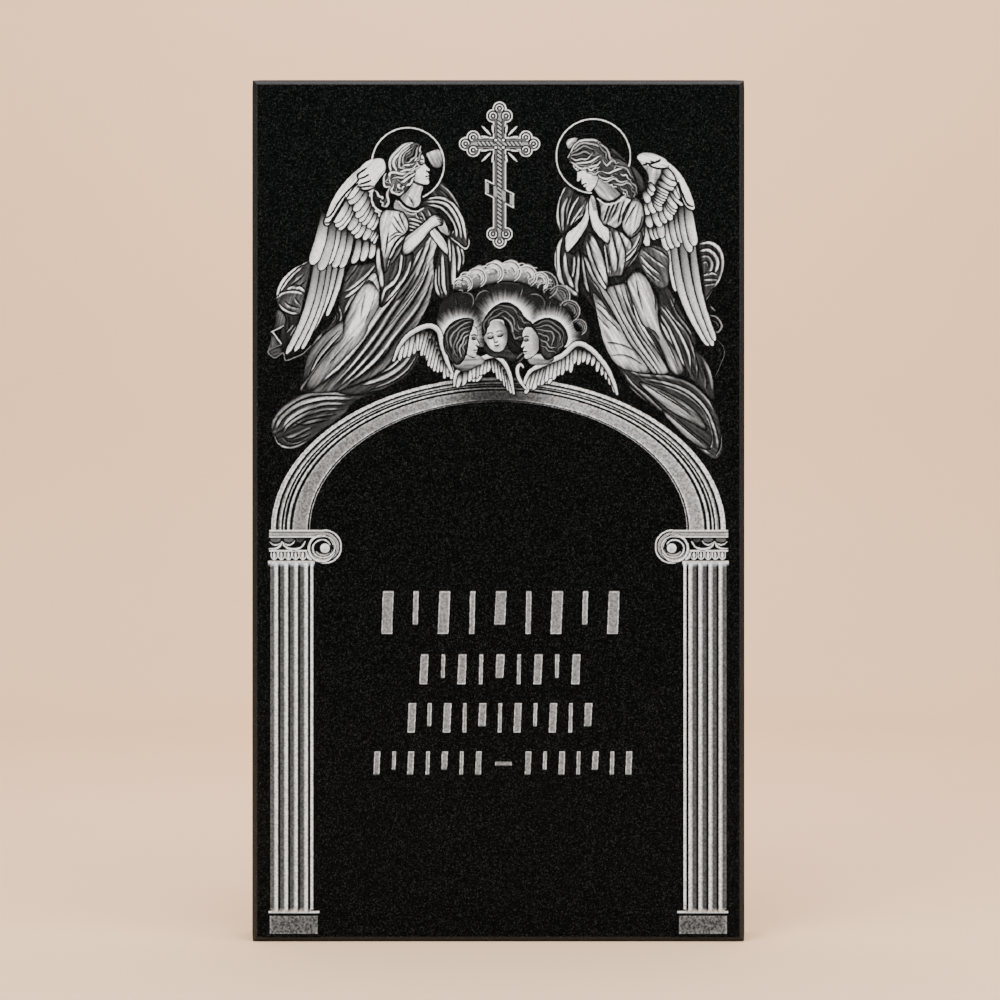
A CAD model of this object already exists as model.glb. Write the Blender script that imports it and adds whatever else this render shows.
# Engraved black granite headstone: one slab, its engraving, and a plain studio
import math

import bmesh
import bpy
import numpy as np
from mathutils import Matrix, Vector


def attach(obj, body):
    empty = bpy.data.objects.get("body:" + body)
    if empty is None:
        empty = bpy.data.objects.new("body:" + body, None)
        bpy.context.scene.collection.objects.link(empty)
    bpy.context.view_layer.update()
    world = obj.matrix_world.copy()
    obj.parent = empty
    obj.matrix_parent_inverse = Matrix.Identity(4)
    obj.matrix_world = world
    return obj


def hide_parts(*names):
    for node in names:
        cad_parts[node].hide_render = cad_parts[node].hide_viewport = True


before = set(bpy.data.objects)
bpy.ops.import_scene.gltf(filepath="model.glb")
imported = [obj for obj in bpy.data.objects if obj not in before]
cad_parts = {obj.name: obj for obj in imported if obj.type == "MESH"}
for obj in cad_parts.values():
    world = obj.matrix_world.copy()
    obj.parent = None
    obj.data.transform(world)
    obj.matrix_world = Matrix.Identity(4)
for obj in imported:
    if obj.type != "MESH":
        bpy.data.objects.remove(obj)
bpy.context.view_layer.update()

# The picture is laid out in millimetres on the flat of the front face
face = {"left": -294.0, "bottom": 6.0, "pitch": 0.4, "columns": 1470, "rows": 2595}
tone = np.zeros((face["rows"], face["columns"]), np.float32)
owner = np.zeros((face["rows"], face["columns"]), np.int8)
motifs = [
    "plain", "left_wing", "left_angel", "right_wing", "right_angel", "child_heads",
    "cross", "arch", "column_shafts", "capitals", "inscription",
]
painting = {"motif": 0}
fine = 0.2      # spacing of drawn samples in millimetres


def paintAs(name):
    painting["motif"] = motifs.index(name)


def scatter(k):
    return np.modf(np.abs(np.sin(np.asarray(k, float) * 12.9898 + 4.1) * 43758.5453))[0]


def lay(x, z, value):
    column = np.floor((x - face["left"]) / face["pitch"]).astype(int)
    row = np.floor((z - face["bottom"]) / face["pitch"]).astype(int)
    value = np.broadcast_to(value, column.shape)
    inside = (column >= 0) & (column < face["columns"]) & (row >= 0) & (row < face["rows"])
    tone[row[inside], column[inside]] = np.clip(value[inside], 0, 1)
    owner[row[inside], column[inside]] = painting["motif"]


def curve(points, t):
    p = np.asarray(points, float)
    if len(p) == 2:
        return p[0] + (p[1] - p[0]) * t[:, None]
    q = np.vstack([2 * p[0] - p[1], p, 2 * p[-1] - p[-2]])
    u = np.clip(t, 0, 1) * (len(p) - 1)
    i = np.minimum(u.astype(int), len(p) - 2)
    f = (u - i)[:, None]
    a, b, c, d = q[i], q[i + 1], q[i + 2], q[i + 3]
    return 0.5 * (2 * b + (c - a) * f + (2 * a - 5 * b + 4 * c - d) * f**2 + (3 * b - a - 3 * c + d) * f**3)


def spanOf(line):
    return float(np.linalg.norm(np.diff(line, axis=0), axis=1).sum())


def spread(start, end, shade):      # fills between two edge lines
    width = np.linalg.norm(end - start, axis=1)[:, None]
    across = np.linspace(0, 1, max(4, int(width.max() / fine)))[None, :]
    along = np.linspace(0, 1, len(start))[:, None]
    x = start[:, :1] * (1 - across) + end[:, :1] * across
    z = start[:, 1:] * (1 - across) + end[:, 1:] * across
    lay(x, z, shade(along, across, width))


def samples(*lines):
    t = np.linspace(0, 1, 60)
    longest = max(spanOf(curve(line, t)) for line in lines)
    return np.linspace(0, 1, max(8, int(longest / fine)))


def rimOf(across, width):
    return np.minimum(across, 1 - across) * width


def ribbonEdges(points, width, taper):
    t = samples(points)
    line = curve(points, t)
    tangent = np.gradient(line, axis=0)
    tangent /= np.maximum(np.linalg.norm(tangent, axis=1), 1e-6)[:, None]
    side = np.stack([-tangent[:, 1], tangent[:, 0]], 1)
    half = 0.5 * width * (1 - taper + taper * np.sin(math.pi * np.clip(t * 0.96 + 0.02, 0, 1)) ** 0.6)
    return line - side * half[:, None], line + side * half[:, None]


def ink(points, width=1.4, value=0.0, taper=0.7):
    start, end = ribbonEdges(points, width, taper)
    spread(start, end, lambda along, across, w: np.full(np.broadcast(along, across).shape, value))


def strand(points, width, light=0.95, dark=0.35, taper=0.8, line=0.6):
    start, end = ribbonEdges(points, width, taper)

    def shade(along, across, w):
        swell = 0.75 + 0.25 * np.sin(math.pi * along)
        value = dark + (light - dark) * np.sin(math.pi * across) ** 0.8 * swell
        return np.where(rimOf(across, w) < line, 0.0, value)
    spread(start, end, shade)


def feather(root, tip, width, bend=0.0, light=0.95, base=0.3, seed=0, line=0.75, point=0.0):
    root = np.asarray(root, float)
    tip = np.asarray(tip, float)
    reach = np.linalg.norm(tip - root)
    s = np.linspace(0, 1, max(8, int(reach * 1.25 / fine)))
    ahead = (tip - root) / reach
    side = np.array([-ahead[1], ahead[0]])
    roundEnd = min(0.35, 0.8 * width / reach)
    half = 0.5 * width * (0.75 + 0.25 * np.sin(0.5 * math.pi * np.clip(s / 0.5, 0, 1))) * (1 - point * s)
    half = half * np.sqrt(np.clip(1 - np.clip((s - 1 + roundEnd) / roundEnd, 0, 1) ** 2, 0, 1))
    middle = root + ahead * (s * reach)[:, None] + side * (bend * np.sin(math.pi * s))[:, None]

    def shade(along, across, w):
        value = base + (light - base) * np.clip(along / 0.55, 0, 1) ** 0.8
        value = value * (0.66 + 0.34 * np.sin(math.pi * np.clip(1.12 - across, 0, 1)) ** 0.6)
        gap = np.minimum(rimOf(across, w), (1 - along) * reach)
        return np.where(gap < line, 0.0, value * (0.8 + 0.2 * scatter(seed)))
    spread(middle - side * half[:, None], middle + side * half[:, None], shade)


def plume(feathers, light=0.95, base=0.3, point=0.0):
    for k, (root, tip, width, bend) in enumerate(feathers):
        feather(root, tip, width + 1.6, bend, light, base, k, 0.8, point)


def featherRow(roots, tips, count, width, seed, base):
    t = np.linspace(0, 1, count)
    for i, (root, tip) in enumerate(zip(curve(roots, t), curve(tips, t))):
        reach = 0.85 + 0.3 * scatter(seed + 3 * i)
        feather(root, root + reach * (tip - root), width, 0.5, 0.95, base, seed + i, 0.6, 0.25)


def blob(points, shade, steps=220):
    p = np.asarray(points, float)
    closed = np.vstack([p, p[:1]])
    loop = curve(closed, np.linspace(0, 1, max(steps, int(spanOf(closed) / fine))))
    middle = p.mean(0)
    reach = np.linalg.norm(loop - middle, axis=1)
    r = np.linspace(0, 1, max(8, int(reach.max() / fine)))[None, :]
    x = middle[0] + (loop[:, :1] - middle[0]) * r
    z = middle[1] + (loop[:, 1:] - middle[1]) * r
    lay(x, z, shade(x, z, (1 - r) * reach[:, None]))


def polar(x, z, near, far, fromDeg, toDeg, shade):
    turn = math.radians(abs(toDeg - fromDeg))
    a = np.radians(np.linspace(fromDeg, toDeg, max(16, int(far * turn / fine))))[:, None]
    r = np.linspace(near, far, max(4, int((far - near) / fine)))[None, :]
    lay(x + r * np.cos(a), z + r * np.sin(a), shade(a, r))


def region(outline):
    p = np.asarray(outline, float)
    lead = 1 / (len(p) + 2)
    loop = curve(np.vstack([p[-1:], p, p[:2]]), np.linspace(lead, 1 - lead, 12 * len(p)))
    x1, z1 = loop.T
    x2, z2 = np.roll(loop, -1, 0).T
    mask = np.zeros(tone.shape, bool)
    first = max(0, int((z1.min() - face["bottom"]) / face["pitch"]))
    last = min(face["rows"] - 1, int((z1.max() - face["bottom"]) / face["pitch"]))
    for row in range(first, last + 1):
        z = face["bottom"] + (row + 0.5) * face["pitch"]
        hit = (z1 <= z) != (z2 <= z)
        crossings = np.sort(x1[hit] + (z - z1[hit]) / (z2[hit] - z1[hit]) * (x2[hit] - x1[hit]))
        columns = ((crossings - face["left"]) / face["pitch"] + 0.5).astype(int)
        for a, b in zip(columns[::2], columns[1::2]):
            mask[row, max(a, 0):max(b, 0)] = True
    return mask, np.vstack([loop, loop[:1]])


def soften(mask, radius):
    steps = max(1, int(radius / face["pitch"]))
    soft = mask.astype(np.float32)
    for axis in (0, 1):
        for _ in range(2):
            margins = [(steps + 1, steps) if k == axis else (0, 0) for k in (0, 1)]
            total = np.cumsum(np.pad(soft, margins, mode="edge"), axis=axis)
            size = total.shape[axis]
            soft = np.take(total, range(2 * steps + 1, size), axis)
            soft = soft - np.take(total, range(0, size - 2 * steps - 1), axis)
            soft = soft / (2 * steps + 1)
    return soft


def brush(layer, points, width, profile, ends=(0.35, 0.25)):
    t = samples(points)
    line = curve(points, t)
    ahead = np.gradient(line, axis=0)
    ahead /= np.maximum(np.linalg.norm(ahead, axis=1), 1e-6)[:, None]
    offset = np.linspace(-width, width, max(4, int(2 * width / fine)))[None, :]
    x = line[:, :1] - ahead[:, 1:] * offset
    z = line[:, 1:] + ahead[:, :1] * offset
    fade = np.clip(t / 0.15 + ends[0], 0, 1) * np.clip((1 - t) / 0.2 + ends[1], 0, 1)
    fade = fade * (0.9 + 0.1 * np.cos(8 * t + line[0, 0]))
    thin = (0.3 + 0.7 * np.clip(np.minimum(t, 1 - t) / 0.35, 0, 1) ** 0.7)[:, None]
    column = np.clip(((x - face["left"]) / face["pitch"]).astype(int), 0, face["columns"] - 1)
    row = np.clip(((z - face["bottom"]) / face["pitch"]).astype(int), 0, face["rows"] - 1)
    np.maximum.at(layer, (row, column), (profile(offset / thin) * fade[:, None]).astype(np.float32))


def streaks(u, v):
    i, j = np.floor(u), np.floor(v)
    f, g = u - i, v - j
    f, g = f * f * (3 - 2 * f), g * g * (3 - 2 * g)

    def corner(du, dv):
        return scatter((i + du) * 7.13 + (j + dv) * 31.7)
    low = corner(0, 0) * (1 - f) + corner(1, 0) * f
    high = corner(0, 1) * (1 - f) + corner(1, 1) * f
    return low * (1 - g) + high * g - 0.5


def cloth(outline, base, creases=(), lights=(), reach=4.5, edge=0.9, slope=(0.0, 0.0), rounded=2.5,
          fall=0.5, power=0.95, grain=0.34, gain=1.0):
    mask, loop = region(outline)
    rows, columns = np.nonzero(mask)
    box = np.s_[max(rows.min() - 12, 0):rows.max() + 13, max(columns.min() - 12, 0):columns.max() + 13]
    inside = mask[box]
    row, column = np.mgrid[box]
    across = (column - columns.min()) / max(1, np.ptp(columns)) - 0.5
    up = (row - rows.min()) / max(1, np.ptp(rows)) - 0.5
    value = base + slope[0] * across + slope[1] * up
    body = 1 - fall + fall * np.clip(2 * soften(inside, rounded) - 1, 0, 1) ** 0.6
    dark = np.zeros(tone.shape, np.float32)
    ridge = np.zeros(tone.shape, np.float32)

    def creaseDark(o):
        soft = np.exp(-np.maximum(o, 0) / (0.38 * reach))
        return power * np.where(o > 0, soft, np.exp(np.minimum(o, 0) / (0.13 * reach)))

    def creaseLight(o):
        return 0.98 * np.exp(-((o + 0.4 * reach) / (0.22 * reach)) ** 2) * (value.max() > 0.5)

    def foldLight(o, width, light):
        crest = np.where(o < 0, np.exp(-(o / (0.6 * width)) ** 2), np.exp(-(o / (0.46 * width)) ** 4))
        return min(0.97, gain * light) * crest * (0.93 + 0.07 * np.cos(4.2 * o))
    for line in creases:
        brush(dark, line, reach, creaseDark)
        brush(ridge, line, reach, creaseLight)
    for line, width, light in lights:
        brush(ridge, line, max(width, 0.5 * width + 1.6), lambda o: foldLight(o, width, light))
        brush(dark, line, 0.5 * width + 1.6, lambda o: 0.92 * np.exp(-((o - 0.5 * width - 0.2) / 0.6) ** 2))
    value = np.maximum(value * body, ridge[box] * (0.4 + 0.6 * body)) * (1 - dark[box])
    way = 0.5 * math.atan2(2 * np.cov(columns, rows)[0, 1], np.var(columns) - np.var(rows))
    along, aside = column * math.cos(way) + row * math.sin(way), row * math.cos(way) - column * math.sin(way)
    value = value * (1 + grain * (streaks(along / 40, aside / 3.6) + streaks(along / 70 + 9, aside / 7.5)))
    tone[box][inside] = np.clip(value, 0.02, 0.98)[inside]
    owner[box][inside] = painting["motif"]
    if edge:
        ink(loop, edge, 0.0, 0.0)


def wave(points, seed):
    t = np.linspace(0, 1, 9)
    line = curve(points, t)
    ahead = np.gradient(line, axis=0)
    ahead /= np.maximum(np.linalg.norm(ahead, axis=1), 1e-6)[:, None]
    side = np.stack([-ahead[:, 1], ahead[:, 0]], 1)
    return line + side * (0.9 * np.sin(12 * t + 6 * scatter(seed)))[:, None]


def locks(strands, lift=1.0):
    for (points, width, light), (beside, _, _) in zip(strands, strands[1:]):
        if len(points) == len(beside):
            between = wave((np.array(points) + beside) / 2, width)
            strand(between, 0.9 * width, 0.62 * lift * light, 0.2, 0.8, 0.3)
    for k, (points, width, light) in enumerate(strands):
        light = min(0.97, lift * light)
        points = wave(points, k)
        strand(points, 1.2 * width, 0.85 * light, 0.4 * light, 0.8, 0.3)
        strand(points, 0.35 * width, light, 0.8 * light, 0.9, 0.0)


def slab(left, right, bottom, top, shade):
    x = np.arange(left + fine / 2, right, fine)[None, :]
    z = np.arange(bottom + fine / 2, top, fine)[:, None]
    x, z = np.broadcast_arrays(x, z)
    lay(x, z, shade(x, z))


def mixAt(value, stops):
    places, tones = zip(*stops)
    return np.interp(value, places, tones)


# arch
arch = {
    "spring": 501.0, "outer": (277.0, 186.5), "inner": (229.0, 156.5),
    "bands": [(0, 0.0), (0.02, 0.92), (0.06, 0.74), (0.1, 0.94), (0.125, 0.85), (0.142, 0.06), (0.175, 0.06),
        (0.19, 0.52), (0.22, 0.58), (0.24, 0.94), (0.265, 0.75), (0.283, 0.03), (0.308, 0.03), (0.325, 0.78),
        (0.345, 0.74), (0.362, 0.04), (0.405, 0.05), (0.43, 0.9), (0.47, 0.78), (0.502, 0.08), (0.538, 0.1),
        (0.56, 0.62), (0.575, 0.8), (0.6, 0.68), (0.9, 0.68), (0.92, 0.93), (0.938, 0.6), (0.952, 0.12),
        (0.97, 0.15), (0.982, 0.92), (1, 0.3)],
}


def paintArch():
    paintAs("arch")
    a = np.linspace(0, math.pi, 4200)
    start = np.stack([arch["outer"][0] * np.cos(a), arch["spring"] + arch["outer"][1] * np.sin(a)], 1)
    end = np.stack([arch["inner"][0] * np.cos(a), arch["spring"] + arch["inner"][1] * np.sin(a)], 1)

    def shade(along, across, width):
        value = mixAt(across, arch["bands"])
        x = np.cos(along * math.pi) * 250
        crown = np.clip((np.abs(x) - 20) / 60, 0, 1)
        rightSide = 0.86 + 0.14 * np.clip((x + 220) / 300, 0, 1)
        return value * rightSide * (0.45 + 0.55 * crown)
    spread(start, end, shade)


# columns
column = {
    "outside": 277.7, "inside": 225.2, "bottom": 39.6, "top": 460.0, "pitch": 12.2,
    "flute": [(0, 0.38), (0.36, 0.45), (0.43, 0.66), (0.6, 0.87), (0.78, 0.78), (0.82, 0.04), (0.96, 0.03),
        (1, 0.35)],
}
eggs = [
    ([(-278.5, 487.5), (-275, 484.3), (-271, 483.4), (-267, 484.3), (-263.5, 487.5)], 2.2),
    ([(-279.5, 478.8), (-271, 479), (-265.5, 482.5), (-263.2, 488)], 2.8),
    ([(-262, 487.5), (-259, 484.3), (-255, 483.4), (-251, 484.5), (-247.8, 488.5)], 2.2),
    ([(-262.5, 487), (-260, 482), (-254, 478.8), (-246, 478.4), (-239, 481.5), (-235, 488)], 3.0),
]
scroll = [(-207, 479), (-205.5, 484.5), (-210, 488.8), (-217, 489.2), (-223.6, 485.2), (-225.8, 479),
    (-223, 472), (-215.5, 468.2), (-206.5, 469.6), (-200.8, 475), (-198.8, 482), (-202, 489.5),
    (-210, 493.6), (-219, 493.2)]


def paintColumn(sign):
    def flip(points):
        return [(-x * sign, z) for x, z in points]

    def box(left, right, bottom, top, shade):
        ends = sorted([-left * sign, -right * sign])
        slab(ends[0], ends[1], bottom, top, lambda x, z: shade(-x * sign, z))

    def bar(left, right, bottom, top, level):
        box(left, right, bottom, top, lambda x, z: np.full(x.shape, level))

    def ring(x, z, near, far, fromDeg, toDeg, low, high):
        turn = (fromDeg, toDeg) if sign < 0 else (180 - toDeg, 180 - fromDeg)

        def shade(a, r):
            return low + (high - low) * (0.5 + 0.5 * np.sin(a)) + 0 * r
        polar(-x * sign, z, near, far, *turn, shade)

    paintAs("column_shafts")

    def flutes(x, z):
        u = np.mod((x + column["outside"]) / column["pitch"], 1.0)
        value = mixAt(u, column["flute"])
        value = np.where(x > -column["inside"] - 3.3, 0.88, value)
        end = np.minimum(z - column["bottom"], column["top"] - z)
        return np.where(end < 1.6, np.maximum(0.6, value), value)
    box(-column["outside"], -column["inside"], column["bottom"], column["top"], flutes)

    paintAs("capitals")
    bar(-279.7, -217.6, 35.2, 38.2, 0.85)
    box(-278.2, -219.6, 10.2, 32.2, lambda x, z: 0.46 + 0.05 * (x < -277) + 0.04 * (z > 31))
    # necking, tongues and eggs below the abacus
    bar(-280.5, -223.5, 461.8, 464.2, 0.75)
    bar(-279.3, -231.0, 464.6, 475.2, 0.04)
    for i in range(5):
        x = -272.6 + 8.65 * i
        tongue = [(x - 3.5, 474.8), (x - 3.3, 468.5), (x, 465.8), (x + 3.3, 468.5), (x + 3.5, 474.8)]
        strand(flip(tongue), 2.0, 0.9, 0.7, 0.2, 0.2)
        strand(flip([(x, 474.6), (x, 470.5), (x, 467)]), 3.4, 0.98, 0.8, 0.5, 0.2)
    strand(flip([(-233.5, 474), (-231.5, 468.5), (-227, 465.6)]), 4.5, 0.85, 0.7, 0.4, 0.3)
    bar(-279.3, -231.0, 475.4, 477.2, 0.85)
    bar(-279.3, -229.0, 477.4, 492.4, 0.05)
    for x, wide, level in ((-271, 6.2, 0.42), (-255, 6.0, 0.42), (-241.5, 4.5, 0.3)):
        def egg(px, pz):
            return np.where(((px - x) / wide) ** 2 + ((pz - 490) / 3.4) ** 2 < 1, level, 0.05)
        box(x - wide, x + wide, 486.0, 491.5, egg)
    for line, width in eggs:
        strand(flip(line), width, 0.97, 0.85, 0.5, 0.2)
    bar(-279.3, -211.0, 499.7, 501.8, 0.93)
    bar(-279.3, -209.0, 498.9, 499.7, 0.12)
    bar(-279.3, -209.0, 494.8, 498.9, 0.66)
    # volute
    ring(-211, 481.2, 0, 20.6, -105, 95, 0.6, 0.66)
    ring(-211, 481.2, 18.6, 20.6, -105, 92, 0.9, 0.95)
    ring(-211, 481.2, 17.6, 18.6, -80, 92, 0.12, 0.15)
    ring(-215, 479.2, 0, 17.4, 0, 360, 0.05, 0.05)
    ring(-215, 479.2, 14.4, 16.8, 0, 360, 0.85, 0.96)
    ring(-214, 478.6, 11.4, 13.8, -170, -5, 0.7, 0.3)
    bar(-279.3, -216.0, 492.4, 494.4, 0.95)
    strand(flip([(-222, 475.5), (-218, 471.8), (-211, 470.8), (-204, 473.5)]), 3.6, 0.66, 0.4, 0.6, 0.0)
    strand(flip(scroll), 2.6, 0.97, 0.85, 0.25, 0.25)
    ring(-211, 479.4, 0, 6.4, 0, 360, 0.04, 0.04)
    ring(-211, 479.4, 0, 5.6, 0, 360, 0.78, 0.9)


# cross
cross = {
    "x": 1.5, "top": 1014.5, "bottom": 852.5, "bar": 971.4, "reach": 41.3, "half": 8.0, "lobe": 8.3,
    "back": 9.2, "apart": 7.8, "footReach": 17.5, "footZ": 910.6, "footDrop": 17.6, "footHalf": 9.2,
    "bands": [(0, 0.3), (0.2, 0.88), (1.5, 0.92), (1.9, 0.2), (2.5, 0.22), (2.9, 0.52), (4.2, 0.5),
        (4.6, 0.22), (5.2, 0.25), (5.7, 0.58), (9, 0.62)],
    "rings": [(0, 0.85), (1.2, 0.7), (1.8, 0.1), (2.9, 0.12), (3.4, 0.85), (4.6, 0.8), (5.1, 0.15),
        (6.2, 0.15)],
}


def paintCross():
    paintAs("cross")
    c = cross
    x, z = np.meshgrid(np.arange(-56, 60, fine), np.arange(838, 1030, fine))
    u = x - c["x"]

    def box(mx, mz, hx, hz):
        dx = np.abs(u - mx) - hx
        dz = np.abs(z - mz) - hz
        return np.maximum(dx, dz)

    def disc(mx, mz, r):
        return np.hypot(u - mx, z - mz) - r
    mid = (c["top"] + c["bottom"]) / 2
    post = box(0, mid, c["half"], (c["top"] - c["bottom"]) / 2)
    d = np.minimum(post, box(0, c["bar"], c["reach"], c["half"]))
    lobes = []
    for sx, sz in [(0, 1), (0, -1), (1, 0), (-1, 0)]:
        ex = sx * c["reach"]
        ez = c["bar"] if sx else (c["top"] if sz > 0 else c["bottom"])
        lobes.append((ex, ez))
        for w in (-1, 1):
            lobes.append((ex - sx * c["back"] + w * sz * c["apart"],
                          ez - sz * c["back"] + w * sx * c["apart"]))
    for mx, mz in lobes:
        d = np.minimum(d, disc(mx, mz, c["lobe"]))
    slope = c["footDrop"] / (2 * c["footReach"])
    foot = np.maximum(np.abs(u) - c["footReach"], np.abs(z - (c["footZ"] - u * slope)) - c["footHalf"])
    d = np.minimum(d, foot)
    depth = -d
    value = mixAt(depth, c["bands"])
    upright = np.abs(u) < 6
    twist = np.where(upright, z, u) * 0.2 + 0.16 * np.where(upright, u, z - c["bar"])
    rope = 0.52 + 0.2 * np.sin(2 * math.pi * twist)
    inBar = (np.abs(u) < 2.6) & (z < c["top"] - 14) & (z > c["bottom"] + 14)
    inBeam = (np.abs(z - c["bar"]) < 2.6) & (np.abs(u) < c["reach"] - 14)
    value = np.where(inBar | inBeam, rope, value)
    tilted = np.abs(z - (c["footZ"] - u * slope)) < c["footHalf"] - 3.2
    footBar = np.where(np.abs(np.abs(u) - 10) < 2.6, 0.2, 0.6)
    value = np.where((foot < 0) & tilted & (np.abs(u) > 3), footBar, value)
    for k, (mx, mz) in enumerate(lobes):
        r = np.hypot(u - mx, z - mz)
        a = np.arctan2(z - mz, u - mx)
        towards = np.arctan2(mz - lobes[k - k % 3][1] * 0.5 - 0.5 * mid, mx * 0.5)
        gap = np.cos(a - towards) < -0.75
        ring = mixAt(r, c["rings"])
        value = np.where(r < 6.2, np.where(gap & (r > 2), 0.45, ring), value)
    for sx in (-1, 1):
        for sz in (-1, 1):
            r = np.hypot(u - sx * 4.6, z - c["bar"] - sz * 4.6)
            value = np.where(r < 2.9, mixAt(r, [(0, 0.98), (1.6, 0.92), (2.0, 0.08), (2.9, 0.08)]), value)
    keep = depth > 0
    lay(x[keep], z[keep], value[keep])
    for corner in (45, 135, 225, 315):
        for lean, reach in ((-24, 25), (0, 31), (24, 25)):
            a = math.radians(corner + lean)
            b = math.radians(corner + lean * 0.6)
            near = (c["x"] + 14.5 * math.cos(b), c["bar"] + 14.5 * math.sin(b))
            far = (c["x"] + reach * math.cos(a), c["bar"] + reach * math.sin(a))
            strand([near, ((near[0] + far[0]) / 2, (near[1] + far[1]) / 2), far], 3.4, 0.95, 0.6, 0.9, 0.3)


# heads
profile = [
    (-0.30, 0.80), (-0.13, 0.86), (-0.025, 0.78), (0.010, 0.68), (0.012, 0.60), (-0.008, 0.545),
    (0.030, 0.47), (0.083, 0.378), (0.098, 0.345), (0.074, 0.315), (0.022, 0.300), (0.020, 0.270),
    (0.044, 0.240), (0.036, 0.215), (0.012, 0.206), (0.030, 0.178), (0.026, 0.150), (0.000, 0.125),
    (0.012, 0.078), (0.004, 0.030), (-0.05, 0.0), (-0.16, 0.03), (-0.30, 0.12), (-0.40, 0.24),
    (-0.43, 0.40), (-0.41, 0.56), (-0.37, 0.70),
]


def paintProfile(chin, size, turn, facing, child=False):
    c, s = math.cos(math.radians(turn)), math.sin(math.radians(turn))

    def put(points):
        out = []
        for x, y in points:
            x, y = facing * x * size, y * size
            out.append((chin[0] + x * c - y * s, chin[1] + x * s + y * c))
        return out

    def unit(x, z):
        dx, dz = x - chin[0], z - chin[1]
        return facing * (dx * c + dz * s) / size, (-dx * s + dz * c) / size

    def shade(x, z, gap):
        u, v = unit(x, z)
        value = 0.9 - 0.38 * np.clip((-0.2 - u) / 0.22, 0, 1)
        value = value - 0.22 * np.exp(-(((u + 0.075) / 0.07) ** 2 + ((v - 0.535) / 0.05) ** 2))
        value = value - 0.18 * np.exp(-(((u + 0.02) / 0.05) ** 2 + ((v - 0.14) / 0.02) ** 2))
        value = value - 0.3 * np.clip((0.1 - v + 0.25 * (u + 0.05)) / 0.1, 0, 1) * np.clip(-u / 0.1, 0, 1)
        value = value + 0.06 * np.exp(-(((u + 0.14) / 0.1) ** 2 + ((v - 0.36) / 0.1) ** 2))
        return np.where(gap < 0.5, 0.12, value * (0.86 if child else 1.0))
    blob(put(profile), shade, 900)
    dark = 0.08
    lift = -0.03 if child else 0.0
    ink(put([(-0.012, 0.615 + lift), (-0.07, 0.638 + lift), (-0.16, 0.618 + lift)]), 1.3, 0.3)
    ink(put([(-0.022, 0.528 + lift), (-0.07, 0.512 + lift), (-0.135, 0.526 + lift)]), 1.5, dark)
    ink(put([(-0.03, 0.556 + lift), (-0.08, 0.568 + lift), (-0.14, 0.545 + lift)]), 0.9, 0.38)
    ink(put([(0.048, 0.322), (0.026, 0.318), (0.012, 0.33)]), 1.1, 0.12)
    ink(put([(0.012, 0.36), (-0.006, 0.335), (0.008, 0.312)]), 0.8, 0.5)
    ink(put([(0.024, 0.2065), (-0.02, 0.207), (-0.062, 0.198)]), 1.2, dark)
    ink(put([(0.016, 0.150), (-0.01, 0.148), (-0.035, 0.158)]), 0.8, 0.55)


def paintFrontFace(x0, z0, wide, high, turn):
    c, s = math.cos(math.radians(turn)), math.sin(math.radians(turn))

    def put(points):
        return [(x0 + u * wide * c - v * high * s, z0 + u * wide * s + v * high * c) for u, v in points]
    outline = [(0, -1.0), (0.42, -0.86), (0.75, -0.5), (0.95, 0.0), (0.92, 0.5), (0.6, 0.9), (0, 1.02),
               (-0.6, 0.9), (-0.92, 0.5), (-0.95, 0.0), (-0.75, -0.5), (-0.42, -0.86)]

    def shade(x, z, gap):
        u = ((x - x0) * c + (z - z0) * s) / wide
        v = (-(x - x0) * s + (z - z0) * c) / high
        value = 0.84 - 0.7 * np.clip(np.abs(u + 0.08) - 0.4, 0, 1) - 0.35 * np.clip(-0.5 - v, 0, 1)
        value = value - 0.3 * np.clip(v - 0.45, 0, 1)
        for side in (-0.42, 0.36):
            value = value - 0.3 * np.exp(-(((u - side) / 0.28) ** 2 + ((v - 0.04) / 0.13) ** 2))
            value = value + 0.08 * np.exp(-(((u - side) / 0.25) ** 2 + ((v + 0.3) / 0.2) ** 2))
        value = value - 0.3 * np.exp(-(((u + 0.2) / 0.08) ** 2 + ((v + 0.18) / 0.22) ** 2))
        value = value - 0.2 * np.exp(-(((u + 0.05) / 0.2) ** 2 + ((v + 0.7) / 0.05) ** 2))
        return value
    blob(put(outline), shade, 500)
    for side in (-0.44, 0.34):
        ink(put([(side - 0.25, 0.02), (side, -0.07), (side + 0.25, 0.02)]), 1.3, 0.12)
        ink(put([(side - 0.27, 0.25), (side, 0.31), (side + 0.27, 0.23)]), 1.0, 0.42)
    ink(put([(-0.22, -0.33), (-0.06, -0.38), (0.1, -0.32)]), 1.1, 0.35)
    ink(put([(-0.28, -0.56), (-0.06, -0.59), (0.16, -0.55)]), 1.2, 0.2)


# left angel
def paintHalo(x, z, radius, fromDeg, toDeg):
    polar(x, z, radius - 0.7, radius + 0.7, fromDeg, toDeg, lambda a, r: 0.9 + 0 * a * r)


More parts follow.
